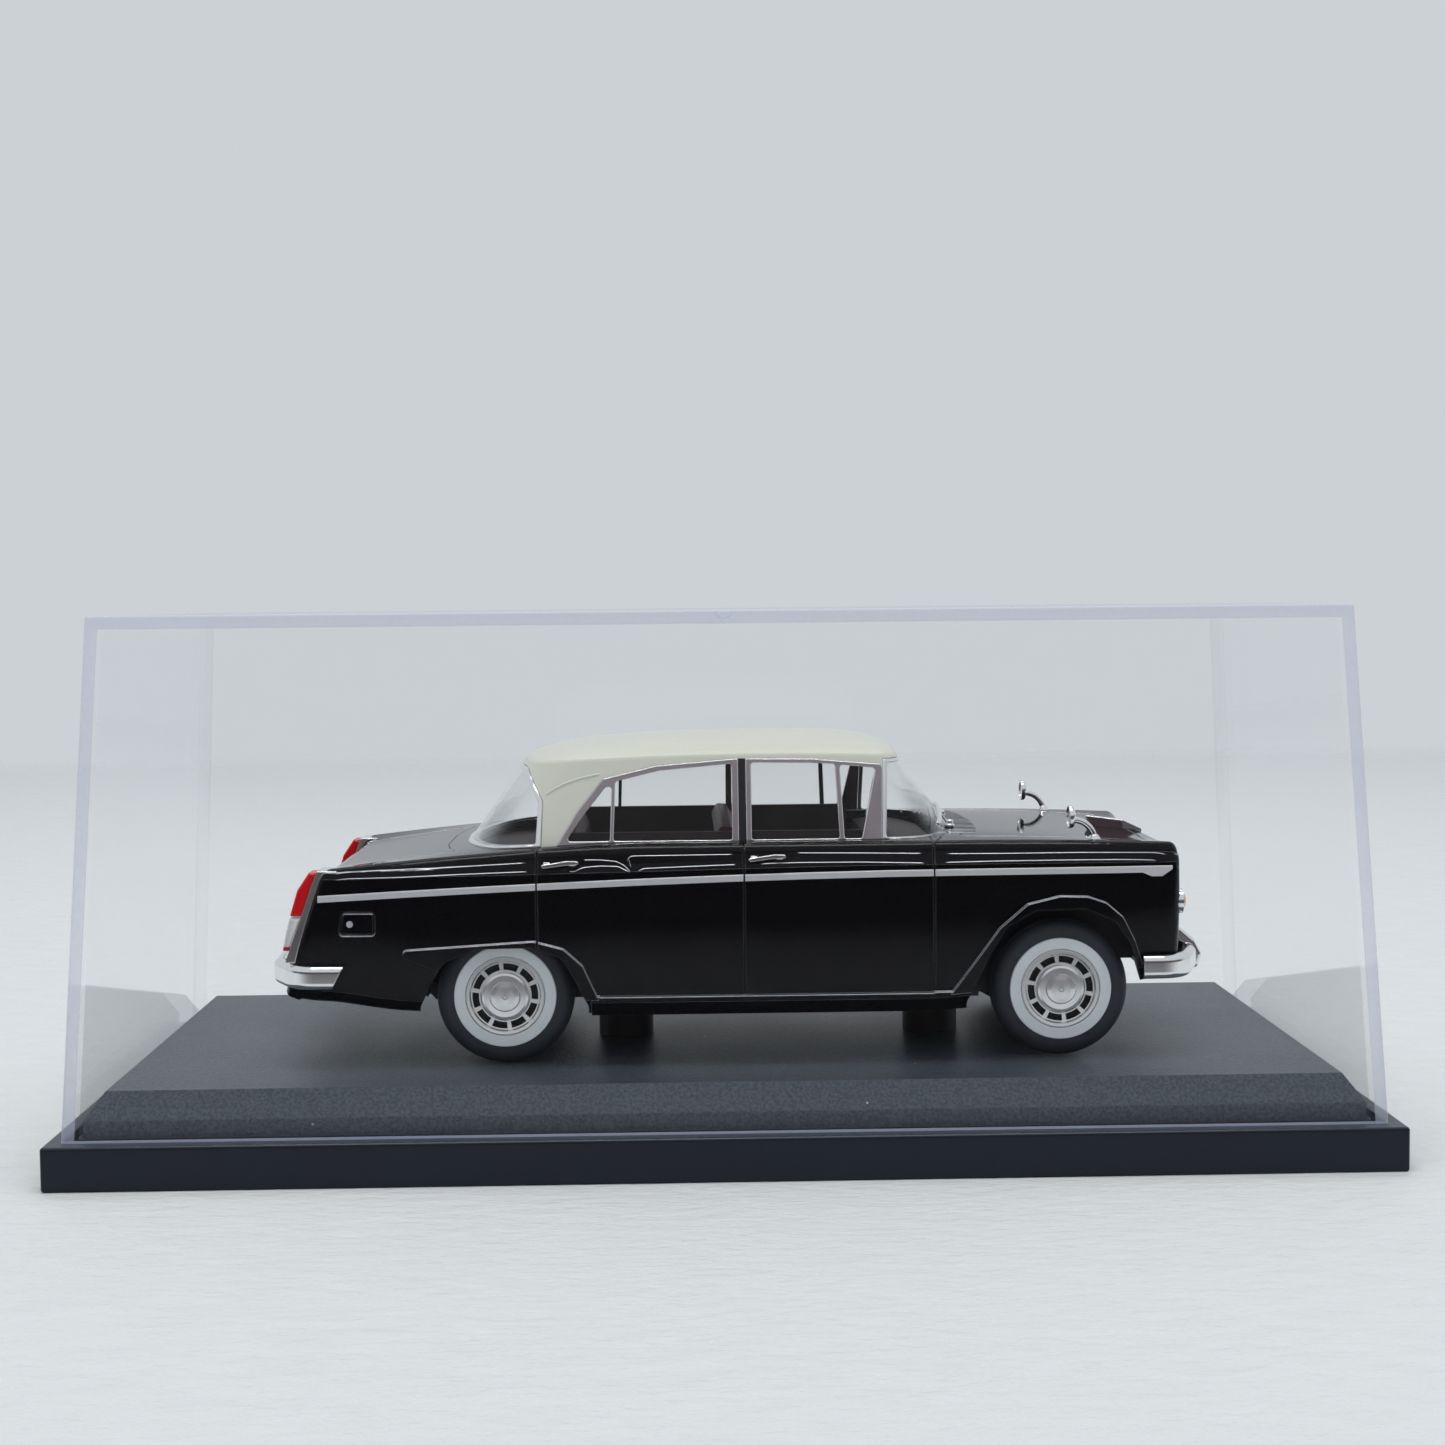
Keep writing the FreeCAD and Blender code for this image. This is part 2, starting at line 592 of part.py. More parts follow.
def make_body_shell(outer, flares):
    """Thin skin with flares, rockers, screw pillars, wheel openings, seams and the hole under the cabin."""
    rear, front = ROCKER_ENDS
    rocker = body_solid(ROCKER_RISE).common(box_between((rear, -far, road), (front, far, road + ROCKER_TOP)))
    shell = outer.fuse([flares, rocker])
    shell = shell.cut(body_solid(-SKIN, SILL))
    pillars = []
    for x, seat in BODY_SCREWS:
        top = belt_height(x) + crown_height(x) - SKIN / 2
        pillars.append(upright(x, 0, PILLAR_RADIUS, seat + CHASSIS_THICKNESS, top))
    shell = shell.fuse(pillars)
    for x, seat in BODY_SCREWS:
        shell = shell.cut(upright(x, 0, SCREW_RADIUS + FIT, seat, seat + CHASSIS_SCREW_LENGTH + 1))
    shell = shell.cut(about_axles(FRONT_ARCH, REAR_ARCH, ARCH_ROUND))
    shell = shell.cut(seam_cutters().cut(body_solid(-SEAM_DEPTH)))
    opening = Part.Face(cabin_wire("belt", ROOF_THICKNESS + OPENING_MARGIN)).extrude(V(0, 0, 12))
    shell = shell.cut(opening.translated(V(0, 0, -6)))
    return shell.cut(front_prism(grille_outline(-FIT), NOSE_X - GRILLE_DEPTH, NOSE_X + 2, GRILLE_ROUND))


# Cabin: glass, frames and roof are all slices of one form, drawn in or out

def rim_height(x):
    return ROOF_RIM - ROOF_RIM_FALL * (x - ROOF_RIM_X) ** 2


def cabin_points(level, inset):
    """Plan points of the front curve, left side, rear curve and right side, at the belt or the roof's rim."""
    if level == "belt":
        corner, back, width = SCREEN_CORNER_X, REAR_CORNER_X, CABIN_HALF_WIDTH - inset
        nose, tail = CABIN_FRONT_X - inset, CABIN_REAR_X + inset
    else:
        corner, back, width = ROOF_SCREEN_CORNER_X, ROOF_REAR_CORNER_X, ROOF_HALF_WIDTH - inset
        nose, tail = ROOF_FRONT_X - inset, ROOF_REAR_X + inset

    def bow(start, end):
        half = [(0.0, 1.0), (0.5, 0.93), (0.83, 0.62), (1.0, 0.0)]
        shares = [(along, -across) for along, across in half] + half[2::-1]
        return [(start + along * (end - start), across * width) for along, across in shares]

    left = [(corner + (back - corner) * i / 4, width) for i in range(5)]
    right = [(back + (corner - back) * i / 4, -width) for i in range(5)]
    return [bow(corner, nose), left, bow(back, tail)[::-1], right]


def cabin_edge(points, tangent, far_tangent):
    curve = Part.BSplineCurve()
    if tangent is None:
        curve.interpolate(points)
    else:
        curve.interpolate(Points=points, InitialTangent=tangent, FinalTangent=far_tangent, Scale=False)
    return curve.toShape()


def cabin_wire(level, inset, share=1.0):
    """Closed line round the cabin: level at the belt, and on the roof drawn in by the share to the crown."""
    top = ROOF_TOP - inset
    rise = (1 - share ** ROOF_ROUNDNESS) ** (1 / ROOF_ROUNDNESS) if share > 0.1 else 1.0

    def placed(x, y):
        if level == "belt":
            return V(x, y, road + CABIN_BASE)
        rim = rim_height(x)
        return V(ROOF_MIDDLE_X + share * (x - ROOF_MIDDLE_X), share * y, road + rim + (top - rim) * rise)

    edges = []
    for run, way in zip(cabin_points(level, inset), (1, None, -1, None)):
        points = [placed(x, y) for x, y in run]
        if way is None:
            edges.append(cabin_edge(points, None, None))
        else:
            edges.append(cabin_edge(points, V(way, 0, 0), V(-way, 0, 0)))
    return Part.Wire(edges)


def cabin_solid(grow=0.0):
    belt = cabin_wire("belt", -grow)
    rim = cabin_wire("rim", -grow)
    rings = [rim] + [cabin_wire("rim", -grow, share) for share in ROOF_SHARES]
    walls = Part.makeLoft([belt, rim], False, True)
    crown = Part.makeLoft(rings, False, False)
    shell = Part.makeShell(walls.Faces + crown.Faces + [Part.Face(belt), Part.Face(rings[-1])])
    shell.sewShape()
    return Part.makeSolid(shell)


def shrunk_prism(outline, inset, y_from, y_to, radius):
    """Side outline drawn in by a clearance, or out where the inset is negative, and swept across."""
    wire = rounded_wire([V(x, y_from, road + h) for x, h in outline], radius).makeOffset2D(-inset)
    return Part.Face(wire).extrude(V(0, y_to - y_from, 0))


def cabin_layer(outer_grow, inner_grow):
    return cabin_solid(outer_grow).cut(cabin_solid(inner_grow))


def make_roof_shell(outer):
    roof = cabin_layer(0.0, -ROOF_THICKNESS)
    roof = roof.cut(shrunk_prism(DOOR_FRAMES, -FIT, -far, far, FRAME_ROUND))
    roof = roof.cut(shrunk_prism(SCREEN_SURROUND, -FIT, -far, far, SURROUND_ROUND - FIT))
    roof = roof.cut(shrunk_prism(REAR_SURROUND, -FIT, -far, far, FRAME_ROUND))
    roof = roof.cut(outer)
    return max(roof.Solids, key=lambda solid: solid.Volume)


def b_pillar_prism(inset):
    start, end = B_PILLAR
    return box_between((start + inset, -far, road), (end - inset, 0, road + ROOF_TOP))


def make_window_frames(outer):
    """Right-hand door frames with their glass openings, in two halves either side of the middle pillar."""
    sheet = cabin_layer(FRAME_RISE, -FRAME_BACK)
    frames = sheet.common(shrunk_prism(DOOR_FRAMES, 0, -far, -5, FRAME_ROUND))
    for pane in PANES:
        frames = frames.cut(side_prism(pane, -far, -5, PANE_ROUND))
    return frames.cut(b_pillar_prism(0)).cut(outer)


def make_b_pillar(outer):
    sheet = cabin_layer(0.0, -FRAME_BACK)
    strip = shrunk_prism(DOOR_FRAMES, 0, -far, -5, FRAME_ROUND).common(b_pillar_prism(FIT))
    return sheet.common(strip).cut(outer)


def glass_layer():
    return cabin_layer(-GLASS_INSET, -GLASS_INSET - GLASS_THICKNESS)


def make_side_glass():
    layer = glass_layer()
    return Part.makeCompound([layer.common(shrunk_prism(pane, FIT, -far, -5, PANE_ROUND)) for pane in PANES])


def make_surround(outline, glass, outer):
    sheet = cabin_layer(FRAME_RISE, -FRAME_BACK)
    ring = sheet.common(shrunk_prism(outline, FIT, -far, far, SURROUND_ROUND))
    return ring.cut(side_prism(glass, -far, far, SCREEN_ROUND)).cut(outer)


def make_screen(glass):
    return glass_layer().common(shrunk_prism(glass, FIT, -far, far, SCREEN_ROUND))


# Outside trim

def make_side_strip(outer, tail_bezel):
    """Right-hand strip along the flank, parted at the door seams, with a spearhead at the front."""
    straight = STRIP_FRONT_X - 1.5 * SPEAR_LENGTH - STRIP_REAR_X
    places = [STRIP_REAR_X + straight * i / STRIP_COUNT for i in range(STRIP_COUNT + 1)]
    half = STRIP_HEIGHT / 2
    level = strip_height(STRIP_FRONT_X)
    tip, drop = STRIP_FRONT_X, level - SPEAR_DROP
    spearhead = [(tip - SPEAR_LENGTH, level - half), (tip - 0.7 * SPEAR_LENGTH, drop),
                 (tip - 0.35 * SPEAR_LENGTH, drop), (tip, level), (tip, level + half)]
    low = [(x, strip_height(x) - half) for x in places]
    top = [(x, strip_height(x) + half) for x in places]
    band = side_prism(low + spearhead + top[::-1], -far, 0)
    strip = body_solid(STRIP_RISE).common(band).cut(outer)
    half_gap = SEAM_WIDTH / 2
    for x in SEAM_PLACES:
        strip = strip.cut(box_between((x - half_gap, -far, road), (x + half_gap, 0, road + BELT)))
    lengths = strip.cut(tail_bezel).Solids
    return Part.makeCompound([length for length in lengths if length.BoundBox.XLength > STRIP_HEIGHT])


def make_door_handle(x, h, outer):
    """Pull handle: a slim bar that stands off the door on a foot at each end."""
    reach = HALF_WIDTH + HANDLE_REACH
    end = x + HANDLE_LENGTH
    outline = [(x, h - 0.1), (x + 0.7 * HANDLE_LENGTH, h + 0.35), (end, h + 0.3), (end, h - 0.05),
               (x + 0.6 * HANDLE_LENGTH, h - 0.15), (x + 0.3, h - 0.45)]
    pieces = [side_prism(outline, -reach, -reach + HANDLE_THICKNESS, 0.1)]
    half = HANDLE_THICKNESS / 2
    for start in (x + HANDLE_FOOT / 2, end - 1.4 * HANDLE_FOOT):
        pieces.append(box_between((start, -reach + half, road + h - 0.2),
                                  (start + HANDLE_FOOT, -HALF_WIDTH + 2, road + h + 0.2)))
    return united(pieces).cut(outer)


def make_boot_handle(outer):
    """Level grip in the middle of the tail panel."""
    x, h = tail_x(BOOT_HANDLE_H), BOOT_HANDLE_H
    outline = [(x + 1.5, h - 0.45), (x - 0.75, h - 0.3), (x - 0.75, h + 0.25), (x + 1.5, h + 0.45)]
    return side_prism(outline, -BOOT_HANDLE_HALF_WIDTH, BOOT_HANDLE_HALF_WIDTH, 0.2).cut(outer)


def bumper_bar(outline, end_x):
    """Bar bent round both corners in plan, with a rounded front and an open back."""
    both_sides = outline + [(x, -y) for x, y in outline[::-1]]
    wire = rounded_wire([V(x, y, road + BUMPER_LOW) for x, y in both_sides], BUMPER_BEND)
    block = Part.Face(wire).extrude(V(0, 0, BUMPER_HEIGHT))
    rims = [e for e in block.Edges if e.BoundBox.ZLength < 1e-4]
    block = block.makeFillet(0.8 * BUMPER_WALL, rims)
    hollow = Part.Face(wire.makeOffset2D(-BUMPER_WALL)).extrude(V(0, 0, BUMPER_HEIGHT))
    back = outline[0][0]
    x_from, x_to = sorted((end_x, back + math.copysign(20, back - end_x)))
    return block.cut(hollow).cut(box_between((x_from, -far, road), (x_to, far, road + BELT)))


def bumper_stays(x_from, x_to):
    low = road + BUMPER_LOW + BUMPER_HEIGHT / 3
    high = road + BUMPER_LOW + 0.75 * BUMPER_HEIGHT
    half = BUMPER_STAY_WIDTH / 2
    places = (-BUMPER_STAY_Y, BUMPER_STAY_Y)
    return [box_between((x_from, y - half, low), (x_to, y + half, high)) for y in places]


def make_front_bumper(outer, flares):
    """Bar with two stays into the nose and two overriders that reach back to the grille."""
    side = HALF_WIDTH + BUMPER_OUTSET
    tip = FRONT_BUMPER_X
    bar = bumper_bar([(36.0, side), (51.8, side - 0.4), (tip - 0.6, 13.0), (tip, 5.0)], FRONT_BUMPER_END)
    back = NOSE_X + GRILLE_PROUD + OVERRIDER_GAP
    low, top = BUMPER_LOW - 0.2, OVERRIDER_TOP
    outline = [(back, low), (tip, low), (tip + OVERRIDER_REACH, low + 1.6), (tip - 0.4, top - 1.5),
               (back + 1.2, top), (back, top)]
    half = OVERRIDER_WIDTH / 2
    pieces = [bar] + bumper_stays(NOSE_X - 2, tip - BUMPER_WALL)
    for y in (-BUMPER_STAY_Y, BUMPER_STAY_Y):
        overrider = side_prism(outline, y - half, y + half, 0.6)
        rounded = [e for e in overrider.Edges if e.BoundBox.YLength < 1e-4 and e.BoundBox.XMax > back + 0.6]
        pieces.append(overrider.makeFillet(OVERRIDER_ROUND, rounded))
    return united(pieces).cut(outer).cut(flares)


def make_rear_bumper(outer):
    """Bar with raked ends and two stays into the tail."""
    side = HALF_WIDTH + BUMPER_OUTSET
    tip = REAR_BUMPER_X
    bar = bumper_bar([(-34.0, side), (-48.2, side - 0.5), (tip + 0.6, 14.0), (tip, 5.0)], REAR_BUMPER_END)
    top = BUMPER_LOW + BUMPER_HEIGHT
    end = REAR_BUMPER_END
    rake = [(end - REAR_BUMPER_RAKE, BUMPER_LOW), (end, top), (end + 5, top), (end + 5, BUMPER_LOW)]
    bar = bar.cut(side_prism(rake, -far, far))
    return united([bar] + bumper_stays(tip + BUMPER_WALL, TAIL_X)).cut(outer)


def lamp_rod(y, h, radius, x_from, x_to):
    return Part.makeCylinder(radius, x_to - x_from, V(x_from, y, road + h), V(1, 0, 0))


def make_front_grille():
    """Plated frame with level bars, let into the nose, open where the headlamps stand."""
    back, front = NOSE_X - GRILLE_DEPTH, NOSE_X + GRILLE_PROUD
    frame = front_prism(grille_outline(FIT), back, front, GRILLE_ROUND)
    hollow = front_prism(grille_outline(GRILLE_RIM), back + GRILLE_BACK, front + 1, GRILLE_ROUND - GRILLE_RIM)
    grille = frame.cut(hollow)
    pitch = (GRILLE_HIGH - GRILLE_LOW) / (BAR_COUNT + 1)
    for i in range(BAR_COUNT):
        low = road + GRILLE_LOW + pitch * (i + 1) - BAR_THICKNESS / 2
        bar = box_between((back + BAR_INSET, -GRILLE_HALF_WIDTH, low),
                          (front - BAR_INSET, GRILLE_HALF_WIDTH, low + BAR_THICKNESS))
        grille = grille.fuse(bar.common(frame))
    for y in HEADLAMPS:
        for side in (-1, 1):
            grille = grille.cut(lamp_rod(side * y, HEADLAMP_H, HEADLAMP_RADIUS + FIT, back - 1, front + 1))
    return grille.removeSplitter()


def dome(y, h, radius, x_from, rise):
    """Lens: a short rod with a domed front."""
    ball_radius = (radius ** 2 + rise ** 2) / (2 * rise)
    ball = Part.makeSphere(ball_radius, V(x_from + rise + 0.3 - ball_radius, y, road + h))
    return lamp_rod(y, h, radius, x_from, x_from + 3).common(ball)


def make_lamp_bezels(outer):
    """Rings of the four headlamps in the grille and of the two turn lamps on the wings."""
    back = NOSE_X - GRILLE_DEPTH
    rings = []
    for side in (-1, 1):
        for y in HEADLAMPS:
            ring = lamp_rod(side * y, HEADLAMP_H, HEADLAMP_RADIUS, back + FIT, NOSE_X + LAMP_PROUD)
            hole = lamp_rod(side * y, HEADLAMP_H, HEADLAMP_RADIUS - LAMP_RIM, back + LAMP_FLOOR, NOSE_X + 2)
            rings.append(ring.cut(hole))
        y, floor = side * TURN_LAMP_Y, NOSE_X + GRILLE_PROUD
        ring = lamp_rod(y, TURN_LAMP_H, TURN_LAMP_RADIUS, NOSE_X - 2, NOSE_X + LAMP_PROUD)
        hole = lamp_rod(y, TURN_LAMP_H, TURN_LAMP_RADIUS - LAMP_RIM, floor, NOSE_X + 2)
        rings.append(ring.cut(hole).cut(outer))
    return Part.makeCompound(rings)


def make_headlamp_lenses():
    start = NOSE_X - GRILLE_DEPTH + LAMP_FLOOR + FIT
    radius = HEADLAMP_RADIUS - LAMP_RIM - FIT
    places = [side * y for y in HEADLAMPS for side in (-1, 1)]
    return Part.makeCompound([dome(y, HEADLAMP_H, radius, start, 0.55) for y in places])


def make_turn_lamp_lenses():
    start = NOSE_X + GRILLE_PROUD + FIT
    radius = TURN_LAMP_RADIUS - LAMP_RIM - FIT
    return Part.makeCompound([dome(side * TURN_LAMP_Y, TURN_LAMP_H, radius, start, 0.4) for side in (-1, 1)])


def tail_x(h):
    """Place of the leaning tail panel at a height above the road."""
    return TAIL_X - LEAN_TO_TAIL[0] * (belt_height(TAIL_X) - h)


def bezel_reach(h):
    """How far the tail lamp's bezel stands out from the tail panel: most at the foot, least at the top."""
    foot, middle, top = TAIL_BEZEL_REACH
    if h < TAIL_LAMP_SPLIT:
        return foot + (middle - foot) * (h - TAIL_BEZEL_FOOT) / (TAIL_LAMP_SPLIT - TAIL_BEZEL_FOOT)
    return middle + (top - middle) * (h - TAIL_LAMP_SPLIT) / (TAIL_LAMP_TOP - TAIL_LAMP_SPLIT)


def make_tail_bezel(outer):
    inner, outer_y = TAIL_LAMP_Y
    levels = (TAIL_BEZEL_FOOT, TAIL_LAMP_SPLIT, TAIL_LAMP_TOP)
    outline = [(tail_x(h) - bezel_reach(h), h) for h in levels]
    outline += [(tail_x(h) + TAIL_BEZEL_ROOT, h) for h in (TAIL_LAMP_TOP, TAIL_BEZEL_FOOT)]
    return side_prism(outline, -outer_y, -inner, 0.15).cut(outer)


def make_tail_lens(low, high, reaches):
    """Right-hand lens on the bezel, with its reach from the tail panel at its foot, shoulder and top."""
    inner, outer_y = TAIL_LAMP_Y
    levels = (low, low + 0.6 * (high - low), high)
    outline = [(tail_x(h) - reach, h) for h, reach in zip(levels, reaches)]
    outline += [(tail_x(high) - bezel_reach(high) - FIT, high), (tail_x(low) - bezel_reach(low) - FIT, low)]
    lens = side_prism(outline, -outer_y + TAIL_LENS_MARGIN, -inner - TAIL_LENS_MARGIN, 0.12)

    def is_outside(edge):
        centre = edge.CenterOfMass
        return edge.BoundBox.YLength < 1e-4 and centre.x < tail_x(centre.z - road) - 0.8 * min(reaches)

    return lens.makeFillet(0.3, [edge for edge in lens.Edges if is_outside(edge)])


def make_fender_mirror(shell):
    """Right-hand mirror: a stem that rises from a round foot and bends back, with a dished round head."""
    base = V(MIRROR_X, -MIRROR_Y, road + belt_height(MIRROR_X) - 0.2)
    way = math.radians(45)
    middle = base + V(-MIRROR_BEND * (1 - math.cos(way)), 0, MIRROR_BEND * math.sin(way))
    end = base + V(-MIRROR_BEND, 0, MIRROR_BEND)
    path = Part.Wire([Part.Arc(base, middle, end).toShape()])
    section = Part.Wire([Part.Circle(base, V(0, 0, 1), MIRROR_STEM).toShape()])
    stem = path.makePipeShell([section], True, True)
    foot = Part.makeCone(MIRROR_FOOT_RADIUS, MIRROR_FOOT_RADIUS / 2, 0.7, base)
    centre = end + V(-MIRROR_THICKNESS, 0, MIRROR_STEM)
    head = Part.makeCylinder(MIRROR_RADIUS, MIRROR_THICKNESS + 0.1, centre, V(1, 0, 0))
    front_rim = [e for e in head.Edges if e.BoundBox.XMin > centre.x + MIRROR_THICKNESS / 2]
    head = head.makeFillet(0.4, front_rim)
    dish = Part.makeCylinder(MIRROR_RADIUS - 0.2, 0.12, centre, V(1, 0, 0))
    return united([stem, foot, head]).cut(dish).cut(shell)


def make_bonnet_ornament(outer):
    """Slim dart down the middle of the bonnet: high and broad at its tail, running out to the nose."""
    def deck(x):
        return belt_height(x) + crown_height(x)

    tip = NOSE_X - 0.4
    tail, middle = tip - DART_LENGTH + 0.4, tip - DART_LENGTH / 3
    profile = [(tail, deck(tail) + DART_RISE), (middle, deck(middle) + 0.9 * DART_RISE),
               (tip, deck(tip) + 0.25), (tip, deck(tip) - 1), (tail + 1.0, deck(tail) - 1)]
    half = DART_HALF_WIDTH
    plan = [(tail, -half / 2), (middle, -half), (tip, -half / 3)]
    plan += [(x, -y) for x, y in plan[::-1]]
    dart = side_prism(profile, -1, 1, 0.1).common(plan_prism(plan, BELT - 3, BELT + 3, 0.1))
    return dart.cut(outer)


def make_wipers(outer):
    """Two arms and blades that lie just off the windscreen, following its curve."""
    layer = cabin_layer(WIPER_RISE, WIPER_GAP)
    pieces = []
    for foot_y in WIPER_FEET:
        blade = [(foot_y - 4.6, 25.9), (foot_y + 4.0, 27.5), (foot_y + 3.95, 27.8), (foot_y - 4.65, 26.2)]
        arm = [(foot_y - 0.2, 24.2), (foot_y + 0.2, 24.2), (foot_y + 0.35, 27.0), (foot_y + 0.05, 27.0)]
        both = front_prism(blade, SCREEN_CORNER_X, AHEAD).fuse(front_prism(arm, SCREEN_CORNER_X, AHEAD))
        pieces.append(layer.common(both).cut(outer))
    return Part.makeCompound(pieces)


# Underside and inside

def chassis_plate():
    """Pressed floor, stepped up towards the tail and the nose."""
    t = CHASSIS_THICKNESS
    tail, nose = TAIL_X - 0.8, NOSE_X - 1.3
    rear, low, front = CHASSIS_REAR_HEIGHT, CHASSIS_HEIGHT, CHASSIS_FRONT_HEIGHT
    rear_top, rear_foot = CHASSIS_REAR_STEP
    front_foot, front_top = CHASSIS_FRONT_STEP
    shift = 0.7
    under = [(tail, rear), (rear_top, rear), (rear_foot, low), (front_foot, low), (front_top, front),
             (nose, front)]
    over = [(nose, front + t), (front_top - shift, front + t), (front_foot - shift, low + t),
            (rear_foot + shift, low + t), (rear_top + shift, rear + t), (tail, rear + t)]
    return side_prism(under + over, -CHASSIS_HALF_WIDTH, CHASSIS_HALF_WIDTH)


def inner_wing():
    """Right-hand wall between the front wheel and the engine bay."""
    rear, front = INNER_WING_ENDS
    low_end, high_end = CHASSIS_FRONT_STEP
    top, slope = INNER_WING_TOP, INNER_WING_SLOPE
    outline = [(rear, CHASSIS_HEIGHT), (low_end, CHASSIS_HEIGHT), (high_end, CHASSIS_FRONT_HEIGHT),
               (front, CHASSIS_FRONT_HEIGHT), (front, top - slope), (front - slope, top), (rear + slope, top),
               (rear, top - slope)]
    inner = wheel_well_y - INNER_WING_WALL
    return side_prism(outline, -inner - INNER_WING_WALL, -inner)


def make_chassis():
    """Floor with wheel wells, inner wings, axle carriers, and bosses for the screws from below."""
    plate = chassis_plate()
    well = TYRE_RADIUS + WELL_MARGIN
    for axle_x in (FRONT_AXLE_X, REAR_AXLE_X):
        for y_from, y_to in ((-far, -wheel_well_y), (wheel_well_y, far)):
            plate = plate.cut(box_between((axle_x - well, y_from, road), (axle_x + well, y_to, road + BELT)))
    wing = inner_wing()
    plate = plate.fuse([wing, mirrored(wing)])
    half = CARRIER_LENGTH / 2
    reach = wheel_well_y - INNER_WING_WALL / 2
    low, high = axle_z - AXLE_RADIUS - CARRIER_WALL, axle_z + AXLE_RADIUS + CARRIER_WALL
    for axle_x in (FRONT_AXLE_X, REAR_AXLE_X):
        plate = plate.fuse(box_between((axle_x - half, -reach, low), (axle_x + half, reach, high)))
    for x in POST_PLACES:
        plate = plate.fuse(upright(x, 0, POST_RADIUS - 0.4, CHASSIS_HEIGHT, TUB_FLOOR - FIT))
    for axle_x in (FRONT_AXLE_X, REAR_AXLE_X):
        plate = plate.cut(cross_rod(axle_x, TYRE_RADIUS, AXLE_RADIUS + AXLE_CLEARANCE, -far, far))
    for x in POST_PLACES:
        plate = plate.cut(upright(x, 0, SCREW_RADIUS + FIT, CHASSIS_HEIGHT - 1, TUB_FLOOR + 1))
    for x, seat in BODY_SCREWS:
        top = seat + CHASSIS_THICKNESS + 1
        plate = plate.cut(upright(x, 0, SCREW_RADIUS + SCREW_CLEARANCE, seat - 1, top))
    return plate.removeSplitter()


def make_chassis_screws():
    seats = [(x, road + seat) for x, seat in BODY_SCREWS]
    return Part.makeCompound([screw(x, seat, seat + CHASSIS_SCREW_LENGTH) for x, seat in seats])


def make_exhaust():
    def along(ends, radius):
        start = V(ends[0], EXHAUST_Y, road + CHASSIS_HEIGHT - FIT - radius)
        return Part.makeCylinder(radius, ends[1] - ends[0], start, V(1, 0, 0))

    silencer = along(SILENCER_ENDS, SILENCER_RADIUS)
    rims = [e for e in silencer.Edges if e.BoundBox.XLength < 1e-4]
    return united([silencer.makeFillet(SILENCER_ROUND, rims), along(EXHAUST_ENDS, EXHAUST_RADIUS)])


def make_interior_tub():
    """Open tray with wheel housings at the rear, a parcel shelf, and door trims that stand above its rim."""
    y, floor = tub_half_width, TUB_FLOOR + TUB_WALL
    inside = y - TUB_WALL
    tub = box_between((TUB_REAR_X, -y, road + TUB_FLOOR), (TUB_FRONT_X, y, road + TUB_RIM))
    tub = tub.cut(box_between((TUB_REAR_X + TUB_WALL, -inside, road + floor),
                              (TUB_FRONT_X - TUB_WALL, inside, road + TUB_RIM + 1)))
    rear, front = DOOR_TRIM_ENDS
    for y_from, y_to in ((-y, -inside), (inside, y)):
        tub = tub.fuse(box_between((rear, y_from, road + TUB_RIM - 1), (front, y_to, road + DOOR_TRIM_TOP)))
        near, away = sorted((math.copysign(wheel_well_y, y_from), math.copysign(far, y_from)))
        tub = tub.cut(cross_rod(REAR_AXLE_X, TYRE_RADIUS, TYRE_RADIUS + WHEEL_GAP, near, away))
    shelf = Part.Face(cabin_wire("belt", ROOF_THICKNESS + OPENING_MARGIN + 0.1)).extrude(V(0, 0, 5))
    shelf.translate(V(0, 0, -3))
    level = box_between((CABIN_REAR_X, -far, road + TUB_RIM - TUB_WALL),
                        (TUB_REAR_X + TUB_WALL, far, road + TUB_RIM))
    return tub.fuse(shelf.common(level)).removeSplitter()


def make_seat(cushion, backrest, half):
    """Bench across the saloon: a cushion on the tub's floor and a leaning backrest."""
    floor = TUB_FLOOR + TUB_WALL + FIT
    pieces = []
    for outline in (cushion, backrest):
        pieces.append(side_prism([(x, floor + rise) for x, rise in outline], -half, half, SEAT_ROUND))
    return united(pieces)


def make_dashboard():
    """Fascia across the tub, a ledge that runs out under the windscreen, and a binnacle before the driver."""
    inside = tub_half_width - TUB_WALL - FIT
    back, front = DASH_REAR_X, TUB_FRONT_X - TUB_WALL - FIT
    rim = TUB_RIM + FIT
    fascia = [(back + 0.6, DASH_LOW), (back, TUB_RIM - 0.3), (back + 0.4, rim + 0.4), (front, rim + 0.4),
              (front, DASH_LOW + 1)]
    ledge = [(back + 0.2, rim), (back + 0.4, DASH_TOP - 0.4), (back + 3.2, DASH_TOP),
             (DASH_FRONT_X, DASH_TOP - 0.7), (DASH_FRONT_X, rim)]
    hood = [(back - 0.5, TUB_RIM - 0.7), (back - 0.7, DASH_TOP + 0.1), (back + 1.8, DASH_TOP + 0.6),
            (back + 2.6, TUB_RIM + 0.5)]
    plan = Part.Face(cabin_wire("belt", ROOF_THICKNESS + 1.4)).extrude(V(0, 0, 8)).translated(V(0, 0, -4))
    middle = STEERING_PLACE[1]
    binnacle = side_prism(hood, middle - BINNACLE_HALF_WIDTH, middle + BINNACLE_HALF_WIDTH, 0.3)
    top = side_prism(ledge, -far, far, 0.25).common(plan)
    return united([side_prism(fascia, -inside, inside, 0.3), top, binnacle])


def steering_frame():
    tilt = math.radians(STEERING_TILT)
    centre = V(STEERING_PLACE[0], STEERING_PLACE[1], road + STEERING_PLACE[2])
    return centre, V(-math.cos(tilt), 0, math.sin(tilt))


